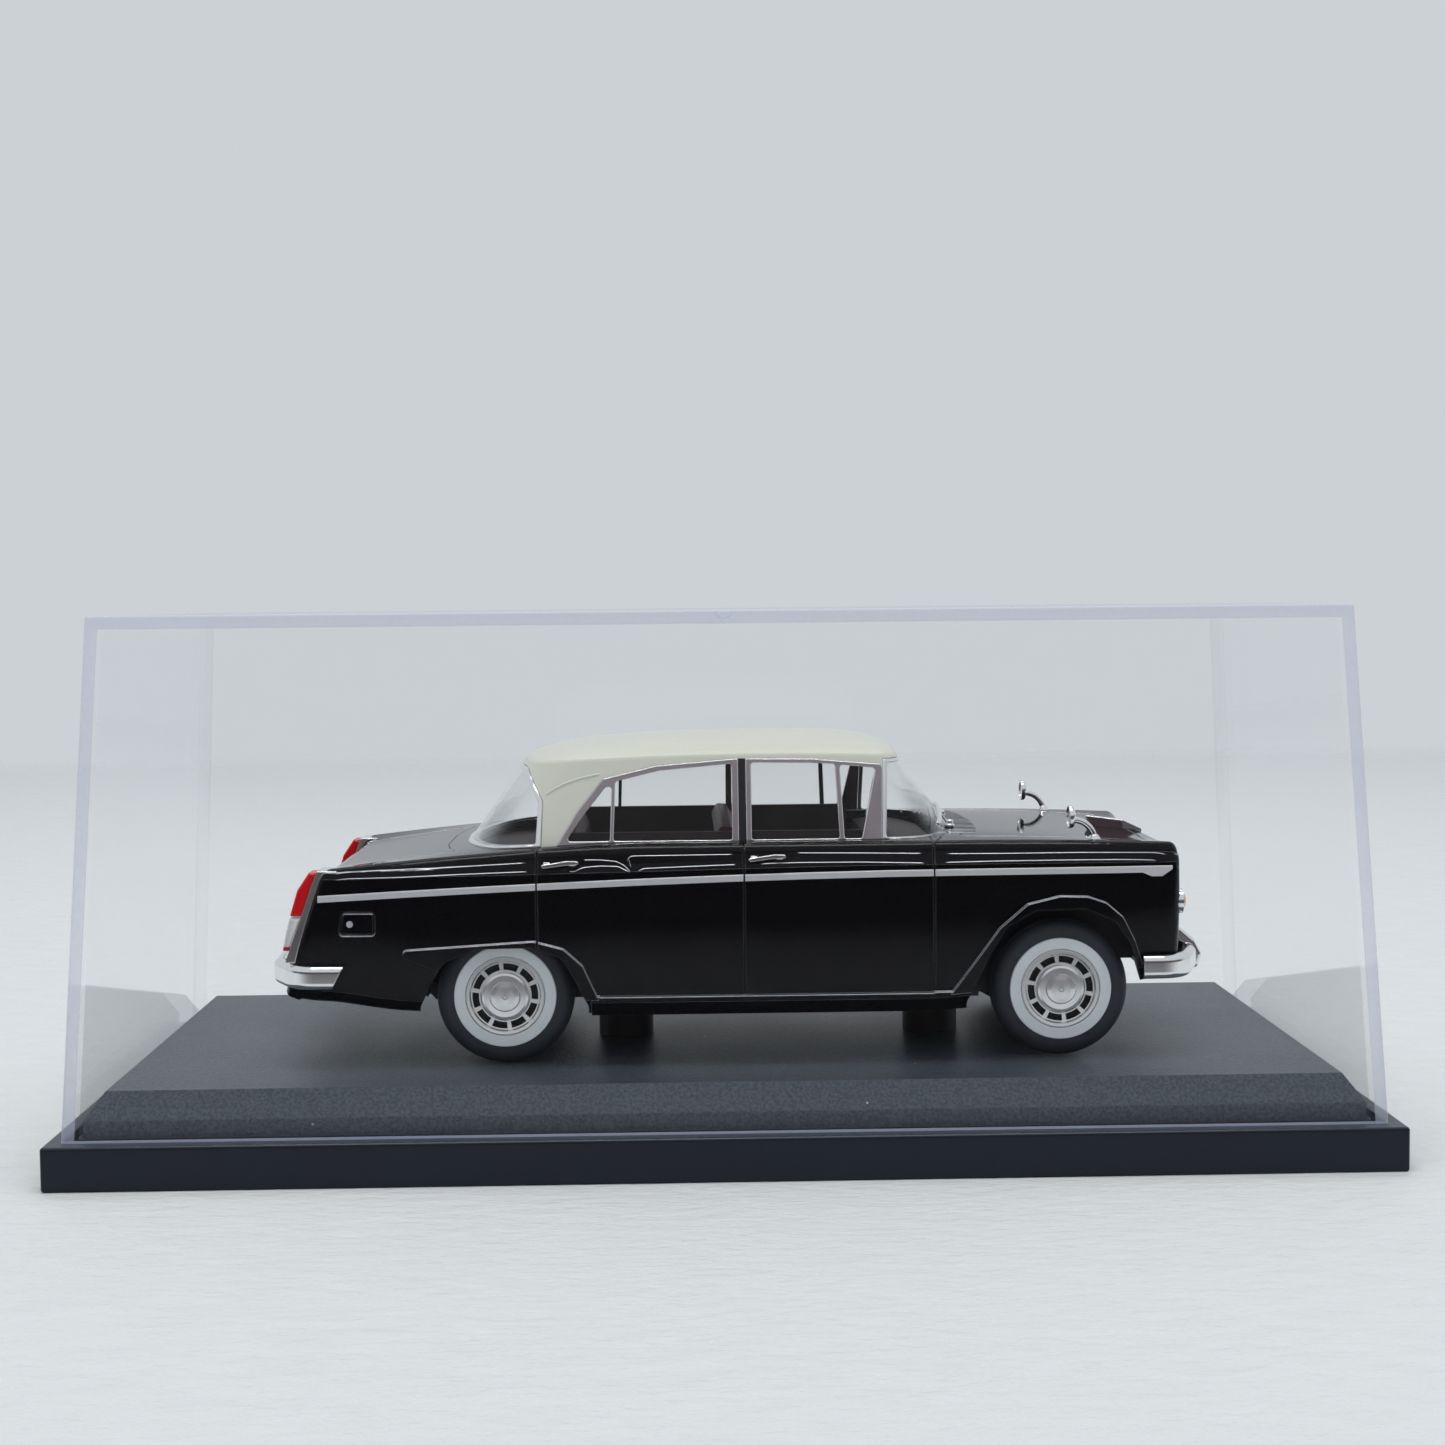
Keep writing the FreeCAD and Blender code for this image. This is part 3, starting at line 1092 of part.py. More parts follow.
def make_steering_wheel():
    centre, axis = steering_frame()
    half = STEERING_HUB_RADIUS / 2
    rim = Part.makeTorus(STEERING_RADIUS, STEERING_RIM, centre, axis)
    hub = Part.makeCylinder(STEERING_HUB_RADIUS, half + 0.2, centre - axis * half, axis)
    across = V(0, STEERING_RADIUS, 0)
    spoke = Part.makeCylinder(STEERING_SPOKE, 2 * STEERING_RADIUS, centre - across, across)
    return united([rim, hub, spoke])


def make_steering_column(dashboard):
    centre, axis = steering_frame()
    start = centre - axis * (STEERING_HUB_RADIUS / 2 + FIT)
    rod = Part.makeCylinder(COLUMN_RADIUS, COLUMN_LENGTH, start, axis * -1)
    solids = rod.cut(dashboard).Solids
    return min(solids, key=lambda solid: solid.BoundBox.XMin)


# Wheels

def make_tyre(axle_x):
    """Right-hand tyre: rounded shoulders, three tread grooves and a seat for the white ring."""
    def rod(radius, y_from, y_to):
        return cross_rod(axle_x, TYRE_RADIUS, radius, y_from, y_to)

    def ring(outer_radius, inner_radius, y_from, y_to):
        return rod(outer_radius, y_from, y_to).cut(rod(inner_radius, y_from, y_to))

    tyre = rod(TYRE_RADIUS, -TYRE_FACE_Y, -TYRE_FACE_Y + TYRE_WIDTH)
    tyre = tyre.makeFillet(TYRE_SHOULDER, [e for e in tyre.Edges if len(e.Vertexes) == 1])
    tyre = tyre.cut(rod(WHEEL_RADIUS + FIT, -far, 0))
    seat = -TYRE_FACE_Y + WHITEWALL_THICKNESS
    tyre = tyre.cut(ring(WHITEWALL_RADIUS + FIT, WHEEL_RADIUS, -TYRE_FACE_Y - 1, seat))
    half = TREAD_WIDTH / 2
    for share in TREAD_GROOVES:
        y = -TYRE_FACE_Y + TYRE_WIDTH * share
        tyre = tyre.cut(ring(TYRE_RADIUS + 1, TYRE_RADIUS - TREAD_DEPTH, y - half, y + half))
    return tyre


def make_whitewall(axle_x):
    start = -TYRE_FACE_Y - WHITEWALL_PROUD
    depth = WHITEWALL_THICKNESS + WHITEWALL_PROUD - FIT
    ring = cross_rod(axle_x, TYRE_RADIUS, WHITEWALL_RADIUS, start, start + depth)
    ring = ring.cut(cross_rod(axle_x, TYRE_RADIUS, WHEEL_RADIUS + FIT, start - 1, start + 2))
    face_rims = [e for e in ring.Edges if e.BoundBox.YMax < start + 1e-3 and len(e.Vertexes) == 1]
    return ring.makeFillet(WHITEWALL_ROUND, face_rims)


def make_wheel(axle_x):
    """Right-hand plated wheel: flange, a band of slots, a stepped centre and a blind bore for the axle."""
    face = TYRE_FACE_Y
    bore_end = face - WHEEL_WEB
    back = face - WHEEL_DEPTH
    bore = AXLE_RADIUS + FIT
    hub = [(0, bore_end), (bore, bore_end), (bore, back), (WHEEL_RADIUS, back)]
    rim = [(WHEEL_RADIUS, face - 0.1), (WHEEL_RADIUS - 0.15, face + 0.1), (WHEEL_RADIUS - 0.45, face + 0.1)]
    band = [(SLOT_OUTER + 0.12, face - SLOT_BAND), (SLOT_INNER - 0.12, face - SLOT_BAND)]
    cap = [(2.6, face + 0.05), (2.35, face + 0.15), (1.75, face + 0.2), (1.6, face + 0.4), (1.1, face + 0.5),
           (0, face + 0.55)]
    points = [V(axle_x + r, -y, axle_z) for r, y in hub + rim + band + cap]
    wheel = Part.Face(Part.makePolygon(points + points[:1])).revolve(V(axle_x, 0, axle_z), V(0, 1, 0), 360)
    floor, above = SLOT_DEPTH + SLOT_BAND - face, -face - 1
    outline = ((SLOT_INNER, floor), (SLOT_OUTER, floor), (SLOT_OUTER, above), (SLOT_INNER, above))
    corners = [V(axle_x + r, y, axle_z) for r, y in outline]
    centre, out = V(axle_x, 0, axle_z), V(0, -1, 0)
    slot = Part.Face(Part.makePolygon(corners + corners[:1])).revolve(centre, out, SLOT_ANGLE)
    for i in range(SLOT_COUNT):
        turned = slot.copy()
        turned.rotate(centre, out, SLOT_START + 360.0 * i / SLOT_COUNT)
        wheel = wheel.cut(turned)
    return wheel


def make_axle(axle_x):
    end = TYRE_FACE_Y - WHEEL_WEB - FIT
    return cross_rod(axle_x, TYRE_RADIUS, AXLE_RADIUS, -end, end)


def main():
    save(make_plinth(), "plinth")
    save(make_clear_cover(), "clear_cover")
    save(make_mounting_posts(), "mounting_posts")
    save(make_mounting_screws(), "mounting_screws")
    outer = body_solid()
    flares = make_flares()
    shell = make_body_shell(outer, flares)
    save(shell, "body_shell")
    save(make_roof_shell(outer), "roof_shell")
    frames = make_window_frames(outer)
    save(frames, "window_frames_right")
    save(mirrored(frames), "window_frames_left")
    save(pair(make_b_pillar(outer)), "b_pillars")
    panes = make_side_glass()
    save(panes, "side_glass_right")
    save(mirrored(panes), "side_glass_left")
    save(make_surround(SCREEN_SURROUND, SCREEN_GLASS, outer), "windscreen_surround")
    save(make_surround(REAR_SURROUND, REAR_GLASS, outer), "rear_screen_surround")
    save(make_screen(SCREEN_GLASS), "windscreen")
    save(make_screen(REAR_GLASS), "rear_screen")
    tail_bezel = make_tail_bezel(outer)
    save(pair(tail_bezel), "tail_lamp_bezels")
    strip = make_side_strip(outer, tail_bezel)
    save(strip, "side_strip_right")
    save(mirrored(strip), "side_strip_left")
    handles = [make_door_handle(x, h, outer) for x, h in HANDLES]
    save(Part.makeCompound(handles + [mirrored(handle) for handle in handles]), "door_handles")
    save(make_boot_handle(outer), "boot_handle")
    save(make_front_bumper(outer, flares), "front_bumper")
    save(make_rear_bumper(outer), "rear_bumper")
    save(make_front_grille(), "front_grille")
    save(make_lamp_bezels(outer), "lamp_bezels")
    save(make_headlamp_lenses(), "headlamp_lenses")
    save(make_turn_lamp_lenses(), "turn_lamp_lenses")
    red = make_tail_lens(TAIL_LAMP_SPLIT + 0.1, TAIL_LAMP_TOP - 0.2, RED_LENS_REACH)
    save(pair(red), "tail_lamp_red_lenses")
    clear = make_tail_lens(TAIL_LAMP_FOOT, TAIL_LAMP_SPLIT - 0.1, CLEAR_LENS_REACH)
    save(pair(clear), "tail_lamp_clear_lenses")
    save(pair(make_fender_mirror(shell)), "fender_mirrors")
    save(make_bonnet_ornament(outer), "bonnet_ornament")
    save(make_wipers(outer), "wipers")
    save(make_chassis(), "chassis")
    save(make_chassis_screws(), "chassis_screws")
    save(make_exhaust(), "exhaust")
    save(make_interior_tub(), "interior_tub")
    inside = tub_half_width - TUB_WALL - SEAT_GAP
    save(make_seat(FRONT_CUSHION, FRONT_BACKREST, inside), "front_seat")
    between_wheels = wheel_well_y - SEAT_GAP
    save(make_seat(REAR_CUSHION, REAR_BACKREST, min(inside, between_wheels)), "rear_seat")
    dashboard = make_dashboard()
    save(dashboard, "dashboard")
    save(make_steering_column(dashboard), "steering_column")
    save(make_steering_wheel(), "steering_wheel")
    for end, axle_x in (("front", FRONT_AXLE_X), ("rear", REAR_AXLE_X)):
        pieces = {"tyre": make_tyre(axle_x), "whitewall": make_whitewall(axle_x), "wheel": make_wheel(axle_x)}
        for name, piece in pieces.items():
            save(piece, end + "_right_" + name)
            save(mirrored(piece), end + "_left_" + name)
        save(make_axle(axle_x), end + "_axle")


main()
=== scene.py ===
import math
import bpy
from mathutils import Euler, Matrix, Vector


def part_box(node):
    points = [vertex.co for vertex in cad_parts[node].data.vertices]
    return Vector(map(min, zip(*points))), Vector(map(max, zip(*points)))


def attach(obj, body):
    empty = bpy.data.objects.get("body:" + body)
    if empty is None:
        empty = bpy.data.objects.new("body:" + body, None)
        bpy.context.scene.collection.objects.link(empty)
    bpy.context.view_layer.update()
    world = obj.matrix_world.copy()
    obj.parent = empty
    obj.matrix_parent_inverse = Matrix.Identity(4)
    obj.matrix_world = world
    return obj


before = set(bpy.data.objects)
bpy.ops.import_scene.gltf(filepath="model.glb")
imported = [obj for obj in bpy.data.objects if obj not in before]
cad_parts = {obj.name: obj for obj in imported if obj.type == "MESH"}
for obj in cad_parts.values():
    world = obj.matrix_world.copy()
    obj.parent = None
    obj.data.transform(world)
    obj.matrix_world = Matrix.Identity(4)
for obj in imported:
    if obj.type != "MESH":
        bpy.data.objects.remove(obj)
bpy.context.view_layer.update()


# Plinth: one black plastic moulding, hollow below, which carries everything else.
# The slab's outer faces are smooth; the riser, bevel and stage carry a fine moulded grain.

class Value:
    """A shader socket that works in sums as a number does: each sum adds its Math node."""

    def __init__(self, socket):
        self.socket = socket

    def math(self, operation, other, swapped=False):
        """Adds a Math node: this value and the other one, or the two swapped."""
        tree = self.socket.id_data
        node = tree.nodes.new("ShaderNodeMath")
        node.operation = operation
        for slot, term in zip(node.inputs, (other, self) if swapped else (self, other)):
            if isinstance(term, Value):
                tree.links.new(term.socket, slot)
            else:
                slot.default_value = term
        return Value(node.outputs[0])

    def __add__(self, other):
        return self.math("ADD", other)

    def __radd__(self, other):
        return self.math("ADD", other)

    def __sub__(self, other):
        return self.math("SUBTRACT", other)

    def __rsub__(self, other):
        return self.math("SUBTRACT", other, True)

    def __mul__(self, other):
        return self.math("MULTIPLY", other)

    def __rmul__(self, other):
        return self.math("MULTIPLY", other)

    def __gt__(self, other):
        return self.math("GREATER_THAN", other)

    def __lt__(self, other):
        return self.math("LESS_THAN", other)

    def __pow__(self, other):
        return self.math("POWER", other)

    def __abs__(self):
        return self.math("ABSOLUTE", 0.0)


class Shading:
    """A node tree and the patterns that are drawn in it. Place is the point on the piece, in metres."""

    def __init__(self, tree, coordinates):
        self.tree = tree
        self.place = Value(self.node("TexCoord").outputs[coordinates])

    def feed(self, node, sockets):
        """Sets or links a node's sockets by name."""
        for name, value in sockets.items():
            slot = node.inputs[name]
            if isinstance(value, Value):
                self.tree.links.new(value.socket, slot)
            elif isinstance(value, tuple) and len(value) == 3 and slot.type == "RGBA":
                slot.default_value = (*value, 1.0)
            else:
                slot.default_value = value

    def node(self, kind, settings=None, sockets=None):
        """Any node, by its type, then its settings, then the values or links of its sockets."""
        made = self.tree.nodes.new("ShaderNode" + kind)
        for name, value in (settings or {}).items():
            setattr(made, name, value)
        self.feed(made, sockets or {})
        return made

    def noise(self, size, detail=2.0, roughness=0.5):
        """Cloudy grain of about this size in metres, from 0 to 1."""
        made = self.node("TexNoise", None, {"Vector": self.place, "Scale": 1 / size, "Detail": detail,
                                            "Roughness": roughness})
        return Value(made.outputs[0])

    def specks(self, pitch, share):
        """Round specks, one in each cell of this pitch, as wide as the share of it: 1 on a speck."""
        made = self.node("TexVoronoi", None, {"Vector": self.place, "Scale": 1 / pitch})
        return Value(made.outputs["Distance"]) < share

    def span(self, value, low, high, start=0.0, end=1.0):
        """Runs smoothly from start to end while the value goes from low to high."""
        made = self.node("MapRange", {"interpolation_type": "SMOOTHSTEP"},
                         {"Value": value, "From Min": low, "From Max": high, "To Min": start, "To Max": end})
        return Value(made.outputs[0])

    def blend(self, share, first, second):
        """First colour where the share is 0, second where it is 1."""
        made = self.node("Mix", {"data_type": "RGBA"})
        for slot, value in zip((made.inputs[0], made.inputs[6], made.inputs[7]), (share, first, second)):
            if isinstance(value, Value):
                self.tree.links.new(value.socket, slot)
            else:
                slot.default_value = (*value, 1.0) if isinstance(value, tuple) else value
        return Value(made.outputs[2])

    def axis(self, letter, of=None):
        """One part of a vector: of the place on the piece, unless another vector is given."""
        return Value(self.node("SeparateXYZ", None, {"Vector": of or self.place}).outputs[letter])


class Finish(Shading):
    """A material: its Principled shader, with the settings that are the same all over."""

    def __init__(self, name, **settings):
        self.material = bpy.data.materials.new(name)
        self.material.use_nodes = True
        super().__init__(self.material.node_tree, "Object")
        self.shader = self.tree.nodes["Principled BSDF"]
        self.feed(self.shader, {key.replace("_", " "): value for key, value in settings.items()})

    def soften(self, radius):
        """Edges catch the light as if rounded to this radius in metres."""
        return Value(self.node("Bevel", {"samples": 6}, {"Radius": radius}).outputs[0])

    def edges(self, softened):
        """1 along the edges, where the softened normal leaves the face's own; 0 elsewhere."""
        face = Value(self.node("NewGeometry").outputs["Normal"])
        along = self.node("VectorMath", {"operation": "DOT_PRODUCT"}, {0: softened, 1: face})
        turned, flat = 0.95, 0.994
        return self.span(Value(along.outputs["Value"]), turned, flat, 1.0, 0.0)

    def highlight_edge_mask(self, softened):
        """1 along the upper edges of upright faces, where the softened normal turns up, for a painted highlight; 0
        elsewhere.
        """
        surface = self.node("NewGeometry")
        rise = self.axis("Z", softened) - self.axis("Z", Value(surface.outputs["Normal"]))
        upturn_for_highlight = self.span(rise, 0.1, 0.45, 0.05, 1.0)
        upright = self.span(self.axis("Z", Value(surface.outputs["True Normal"])), 0.4, 0.65, 1.0, 0.0)
        return self.edges(softened) * upturn_for_highlight * upright

    def bump(self, height, depth, strength=1.0, edges=None):
        """Surface relief: the height, from 0 to 1, stands for this depth in metres."""
        made = self.node("Bump", None, {"Height": height, "Distance": depth, "Strength": strength})
        if edges:
            self.feed(made, {"Normal": edges})
        self.feed(self.shader, {"Normal": Value(made.outputs[0])})

    def wear(self, *nodes):
        """Puts the material on these pieces of the frame."""
        for name in nodes:
            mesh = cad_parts[name].data
            mesh.materials.clear()
            mesh.materials.append(self.material)


plinth_plastic = Finish("plinth_plastic", IOR=1.5, Specular_IOR_Level=0.35)
slab_top, grain_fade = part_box("clear_cover")[0].z, 0.0001
grained = plinth_plastic.span(plinth_plastic.axis("Z"), slab_top - grain_fade, slab_top + grain_fade)
fine_grain = plinth_plastic.span(plinth_plastic.noise(0.00032), 0.34, 0.66)
pale_specks = plinth_plastic.specks(0.0009, 0.14) * grained
dust = plinth_plastic.specks(0.0062, 0.024) * grained
smears = plinth_plastic.noise(0.012, 3.0)
slab_black = plinth_plastic.blend(smears, (0.0005, 0.004, 0.011), (0.0012, 0.007, 0.017))
stage_grey = plinth_plastic.blend(fine_grain, (0.05, 0.062, 0.079), (0.083, 0.1, 0.124))
stage_grey = plinth_plastic.blend(pale_specks * 0.5, stage_grey, (0.1, 0.12, 0.145))
stage_grey = plinth_plastic.blend(dust, stage_grey, (0.4, 0.42, 0.45))
plinth_plastic.feed(plinth_plastic.shader, {
    "Base Color": plinth_plastic.blend(grained, slab_black, stage_grey),
    "Roughness": 0.26 + 0.06 * grained + 0.1 * smears})
plinth_plastic.bump(fine_grain * grained, 0.00005, 0.5, plinth_plastic.soften(0.0002))
plinth_plastic.wear("plinth")


# Posts and screws: two turned black spacers hold the model off the stage,
# and a bright pan-head screw runs up through each of them into the chassis.

post_plastic = Finish("post_plastic", IOR=1.5)
post_plastic.feed(post_plastic.shader, {
    "Base Color": post_plastic.blend(post_plastic.noise(0.0009), (0.006, 0.006, 0.007), (0.012, 0.012, 0.014)),
    "Roughness": 0.38 + 0.15 * post_plastic.noise(0.0006)})
post_plastic.wear("mounting_posts")

screw_zinc = Finish("screw_zinc", Metallic=1.0)
screw_zinc.feed(screw_zinc.shader, {
    "Base Color": screw_zinc.blend(screw_zinc.noise(0.0012), (0.5, 0.5, 0.52), (0.62, 0.62, 0.6)),
    "Roughness": 0.22 + 0.2 * screw_zinc.noise(0.0004)})
screw_zinc.wear("mounting_screws", "chassis_screws")


# Chassis and exhaust: a satin black moulded underside with its axle carriers,
# and a grey silencer and pipe that lie along it.

chassis_plastic = Finish("chassis_plastic", IOR=1.5)
chassis_grain = chassis_plastic.noise(0.00025)
chassis_plastic.feed(chassis_plastic.shader, {
    "Base Color": chassis_plastic.blend(chassis_grain, (0.006, 0.006, 0.007), (0.014, 0.014, 0.016)),
    "Roughness": 0.42 + 0.15 * chassis_plastic.noise(0.004)})
chassis_plastic.bump(chassis_grain, 0.00003, 0.5)
chassis_plastic.wear("chassis")

exhaust_paint = Finish("exhaust_paint", Metallic=0.6)
exhaust_paint.feed(exhaust_paint.shader, {
    "Base Color": exhaust_paint.blend(exhaust_paint.noise(0.0015), (0.2, 0.2, 0.2), (0.3, 0.29, 0.28)),
    "Roughness": 0.4 + 0.2 * exhaust_paint.noise(0.0005)})
exhaust_paint.wear("exhaust")


# Wheels: steel axles, moulded tyres with a pale ring pressed into the sidewall, and plated wheels
# whose slots are painted black. Each axle turns in its carriers with its two wheels.

axle_steel = Finish("axle_steel", Metallic=1.0)
axle_steel.feed(axle_steel.shader, {
    "Base Color": axle_steel.blend(axle_steel.noise(0.001), (0.5, 0.5, 0.5), (0.6, 0.6, 0.6)),
    "Roughness": 0.25 + 0.15 * axle_steel.noise(0.0003)})
axle_steel.wear("front_axle", "rear_axle")

tyre_rubber = Finish("tyre_rubber", IOR=1.5)
rubber_grain = tyre_rubber.noise(0.0002)
tyre_rubber.feed(tyre_rubber.shader, {
    "Base Color": tyre_rubber.blend(rubber_grain, (0.016, 0.0195, 0.027), (0.024, 0.0285, 0.038)),
    "Roughness": 0.45 + 0.2 * tyre_rubber.noise(0.002)})
tyre_rubber.bump(rubber_grain, 0.00002, 0.5)

pale_ring = Finish("pale_ring", IOR=1.5, Subsurface_Weight=0.2, Subsurface_Scale=0.0006)
pale_ring.feed(pale_ring.shader, {
    "Base Color": pale_ring.blend(pale_ring.noise(0.0025), (0.68, 0.71, 0.73), (0.78, 0.81, 0.83)),
    "Roughness": 0.42 + 0.15 * pale_ring.noise(0.0008)})

slot_inner, slot_outer = 0.0029, 0.00376
slot_face_y = 0.01712
for end in ("front", "rear"):
    wheel_plating = Finish(f"{end}_wheel_plating", IOR=1.5)
    low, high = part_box(f"{end}_right_tyre")
    across = wheel_plating.axis("X") - (low.x + high.x) / 2
    up = wheel_plating.axis("Z") - (low.z + high.z) / 2
    radius = (across * across + up * up) ** 0.5
    in_slot = (radius > slot_inner) * (radius < slot_outer) * (abs(wheel_plating.axis("Y")) < slot_face_y)
    silver = wheel_plating.blend(wheel_plating.noise(0.003), (0.78, 0.78, 0.79), (0.86, 0.86, 0.86))
    wheel_plating.feed(wheel_plating.shader, {
        "Base Color": wheel_plating.blend(in_slot, silver, (0.004, 0.004, 0.005)),
        "Metallic": 0.72 - 0.72 * in_slot,
        "Roughness": 0.14 + 0.1 * wheel_plating.noise(0.0012) + 0.4 * in_slot})
    for side in ("right", "left"):
        tyre_rubber.wear(f"{end}_{side}_tyre")
        pale_ring.wear(f"{end}_{side}_whitewall")
        wheel_plating.wear(f"{end}_{side}_wheel")


# Inside: a dark moulded tub with two bench seats in dark red,
# a dashboard and a steering wheel on its column.

tub_plastic = Finish("tub_plastic", IOR=1.5)
tub_plastic.feed(tub_plastic.shader, {
    "Base Color": tub_plastic.blend(tub_plastic.noise(0.0008), (0.01, 0.003, 0.004), (0.017, 0.005, 0.006)),
    "Roughness": 0.5 + 0.15 * tub_plastic.noise(0.0004)})
tub_plastic.wear("interior_tub", "dashboard", "steering_column", "steering_wheel")

seat_plastic = Finish("seat_plastic", IOR=1.5)
pleats = seat_plastic.node("TexWave", {"bands_direction": "Y"}, {"Vector": seat_plastic.place, "Scale": 160.0})
seat_plastic.feed(seat_plastic.shader, {
    "Base Color": seat_plastic.blend(seat_plastic.noise(0.001), (0.05, 0.004, 0.008), (0.075, 0.007, 0.012)),
    "Roughness": 0.42 + 0.15 * seat_plastic.noise(0.0005)})
seat_plastic.bump(Value(pleats.outputs[1]), 0.0001, 0.6)
seat_plastic.wear("front_seat", "rear_seat")


# Body: a die-cast shell in deep gloss black enamel, with door, bonnet and boot lines cut into it.
# Its upper edges carry a painted highlight: they are coloured pale and part metallic.

body_enamel = Finish("body_enamel", IOR=1.5, Specular_IOR_Level=0.18)
rounded = body_enamel.soften(0.0002)
# Painted highlight: pale, part-metallic colour along the upper edges of the casting.
painted_highlight_edge = body_enamel.highlight_edge_mask(rounded)
enamel_blacks = (0.0014, 0.0014, 0.0024), (0.0022, 0.0022, 0.0034)
painted_highlight_colour, painted_highlight_metallic = (0.75, 0.76, 0.82), 0.4
body_enamel.feed(body_enamel.shader, {
    "Base Color": body_enamel.blend(
        painted_highlight_edge, body_enamel.blend(body_enamel.noise(0.004), *enamel_blacks), painted_highlight_colour),
    "Metallic": painted_highlight_edge * painted_highlight_metallic,
    "Roughness": 0.04 + 0.015 * body_enamel.noise(0.0015) + 0.1 * painted_highlight_edge})
body_enamel.bump(body_enamel.noise(0.0025), 0.000003, 0.1, rounded)
body_enamel.wear("body_shell")


# Filler lock: a small bright metal barrel with a key slot, pushed into the flap on the right flank
# so that its face stands a little proud.

def pick_faces(piece, test):
    """Leaves the piece in edit mode with only the faces that pass the test selected."""
    bpy.ops.object.mode_set(mode="EDIT")
    bpy.ops.mesh.select_mode(type="FACE")
    bpy.ops.mesh.select_all(action="DESELECT")
    bpy.ops.object.mode_set(mode="OBJECT")
    for face in piece.data.polygons:
        face.select = test(face)
    bpy.ops.object.mode_set(mode="EDIT")


lock_radius, lock_depth, lock_stands_out = 0.00036, 0.0005, 0.00012
lock_x, lock_z, beside_body = -0.0417, 0.02595, 0.05
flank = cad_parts["body_shell"]
lock_seat, flank_normal = flank.ray_cast(Vector((lock_x, -beside_body, lock_z)), Vector((0.0, 1.0, 0.0)))[1:3]
bpy.ops.object.select_all(action="DESELECT")
bpy.ops.mesh.primitive_cylinder_add(vertices=32, radius=lock_radius, depth=lock_depth)
filler_lock = bpy.context.object
filler_lock.name = "filler_lock"
pick_faces(filler_lock, lambda face: face.normal.z > 0.9)
bpy.ops.mesh.inset(thickness=lock_radius * 0.22)
bpy.ops.transform.translate(value=(0.0, 0.0, -0.00005))
bpy.ops.mesh.inset(thickness=lock_radius * 0.1)
bpy.ops.transform.translate(value=(0.0, 0.0, 0.00007))
bpy.ops.mesh.inset(thickness=lock_radius * 0.3)
bpy.ops.transform.resize(value=(0.35, 1.3, 1.0))
bpy.ops.mesh.extrude_region_move(TRANSFORM_OT_translate={"value": (0.0, 0.0, -0.0001)})
bpy.ops.object.mode_set(mode="OBJECT")
filler_lock.rotation_euler = flank_normal.to_track_quat("Z", "Y").to_euler()
filler_lock.location = lock_seat - flank_normal * (lock_depth / 2 - lock_stands_out)
bpy.ops.object.transform_apply(location=True, rotation=True, scale=False)
bpy.ops.object.shade_smooth_by_angle(angle=math.radians(35))
lock_metal = Finish("lock_metal", Metallic=0.5)
lock_metal.feed(lock_metal.shader, {
    "Base Color": lock_metal.blend(lock_metal.noise(0.0004), (0.62, 0.62, 0.64), (0.72, 0.72, 0.74)),
    "Roughness": 0.25 + 0.15 * lock_metal.noise(0.0002)})
filler_lock.data.materials.append(lock_metal.material)
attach(filler_lock, "base")


# Flank beads: two fine raised lines along each side of the casting, broken at the door gaps, which dip
# and step on the rear door; painted with the body, with a painted highlight where they turn up.

def trace(points, count):
    """This many points, evenly spaced along the line through these points, with its corners eased."""
    points = [Vector(point) for point in points]
    runs = [(second - first).length for first, second in zip(points, points[1:])]
    traced = []
    for number in range(count):
        left = sum(runs) * number / (count - 1)
        leg = 0
        while leg < len(runs) - 1 and left > runs[leg]:
            left -= runs[leg]
            leg += 1
        traced.append(points[leg].lerp(points[leg + 1], left / runs[leg]))
    for easing in range(2):
        traced[1:-1] = [(before + here + after) / 3 for before, here, after in zip(traced, traced[1:], traced[2:])]
    return traced


def bead(carrier, side, points, width, rise):
    """A rounded line through these points (x, z) on the carrier's flank, on the side -1, right, or 1, left."""
    steps, tapered_share, sunk, depth = 60, 1 / 12, 0.00003, 0.0001
    line = trace(points, steps + 1)
    bpy.ops.object.select_all(action="DESELECT")
    bpy.ops.mesh.primitive_grid_add(x_subdivisions=steps, y_subdivisions=6, size=1.0)
    made = bpy.context.object
    for point in made.data.vertices:
        number = round((0.5 - side * point.co.x) * steps)
        ahead = line[min(number + 1, steps)] - line[max(number - 1, 0)]
        spot = line[number] + Vector((-ahead.y, ahead.x)).normalized() * point.co.y * width
        beside = Vector((spot.x, side * beside_body, spot.y))
        seat, normal = carrier.ray_cast(beside, Vector((0.0, -side, 0.0)))[1:3]
        taper = min(1.0, number / steps / tapered_share, (1 - number / steps) / tapered_share)
        crown = 1 - (2 * point.co.y) ** 2
        point.co = seat + normal * (rise * taper * crown - sunk)
    under = made.modifiers.new("under", "SOLIDIFY")
    under.thickness = depth
    under.offset = -1.0
    bpy.ops.object.modifier_apply(modifier="under")
    return made


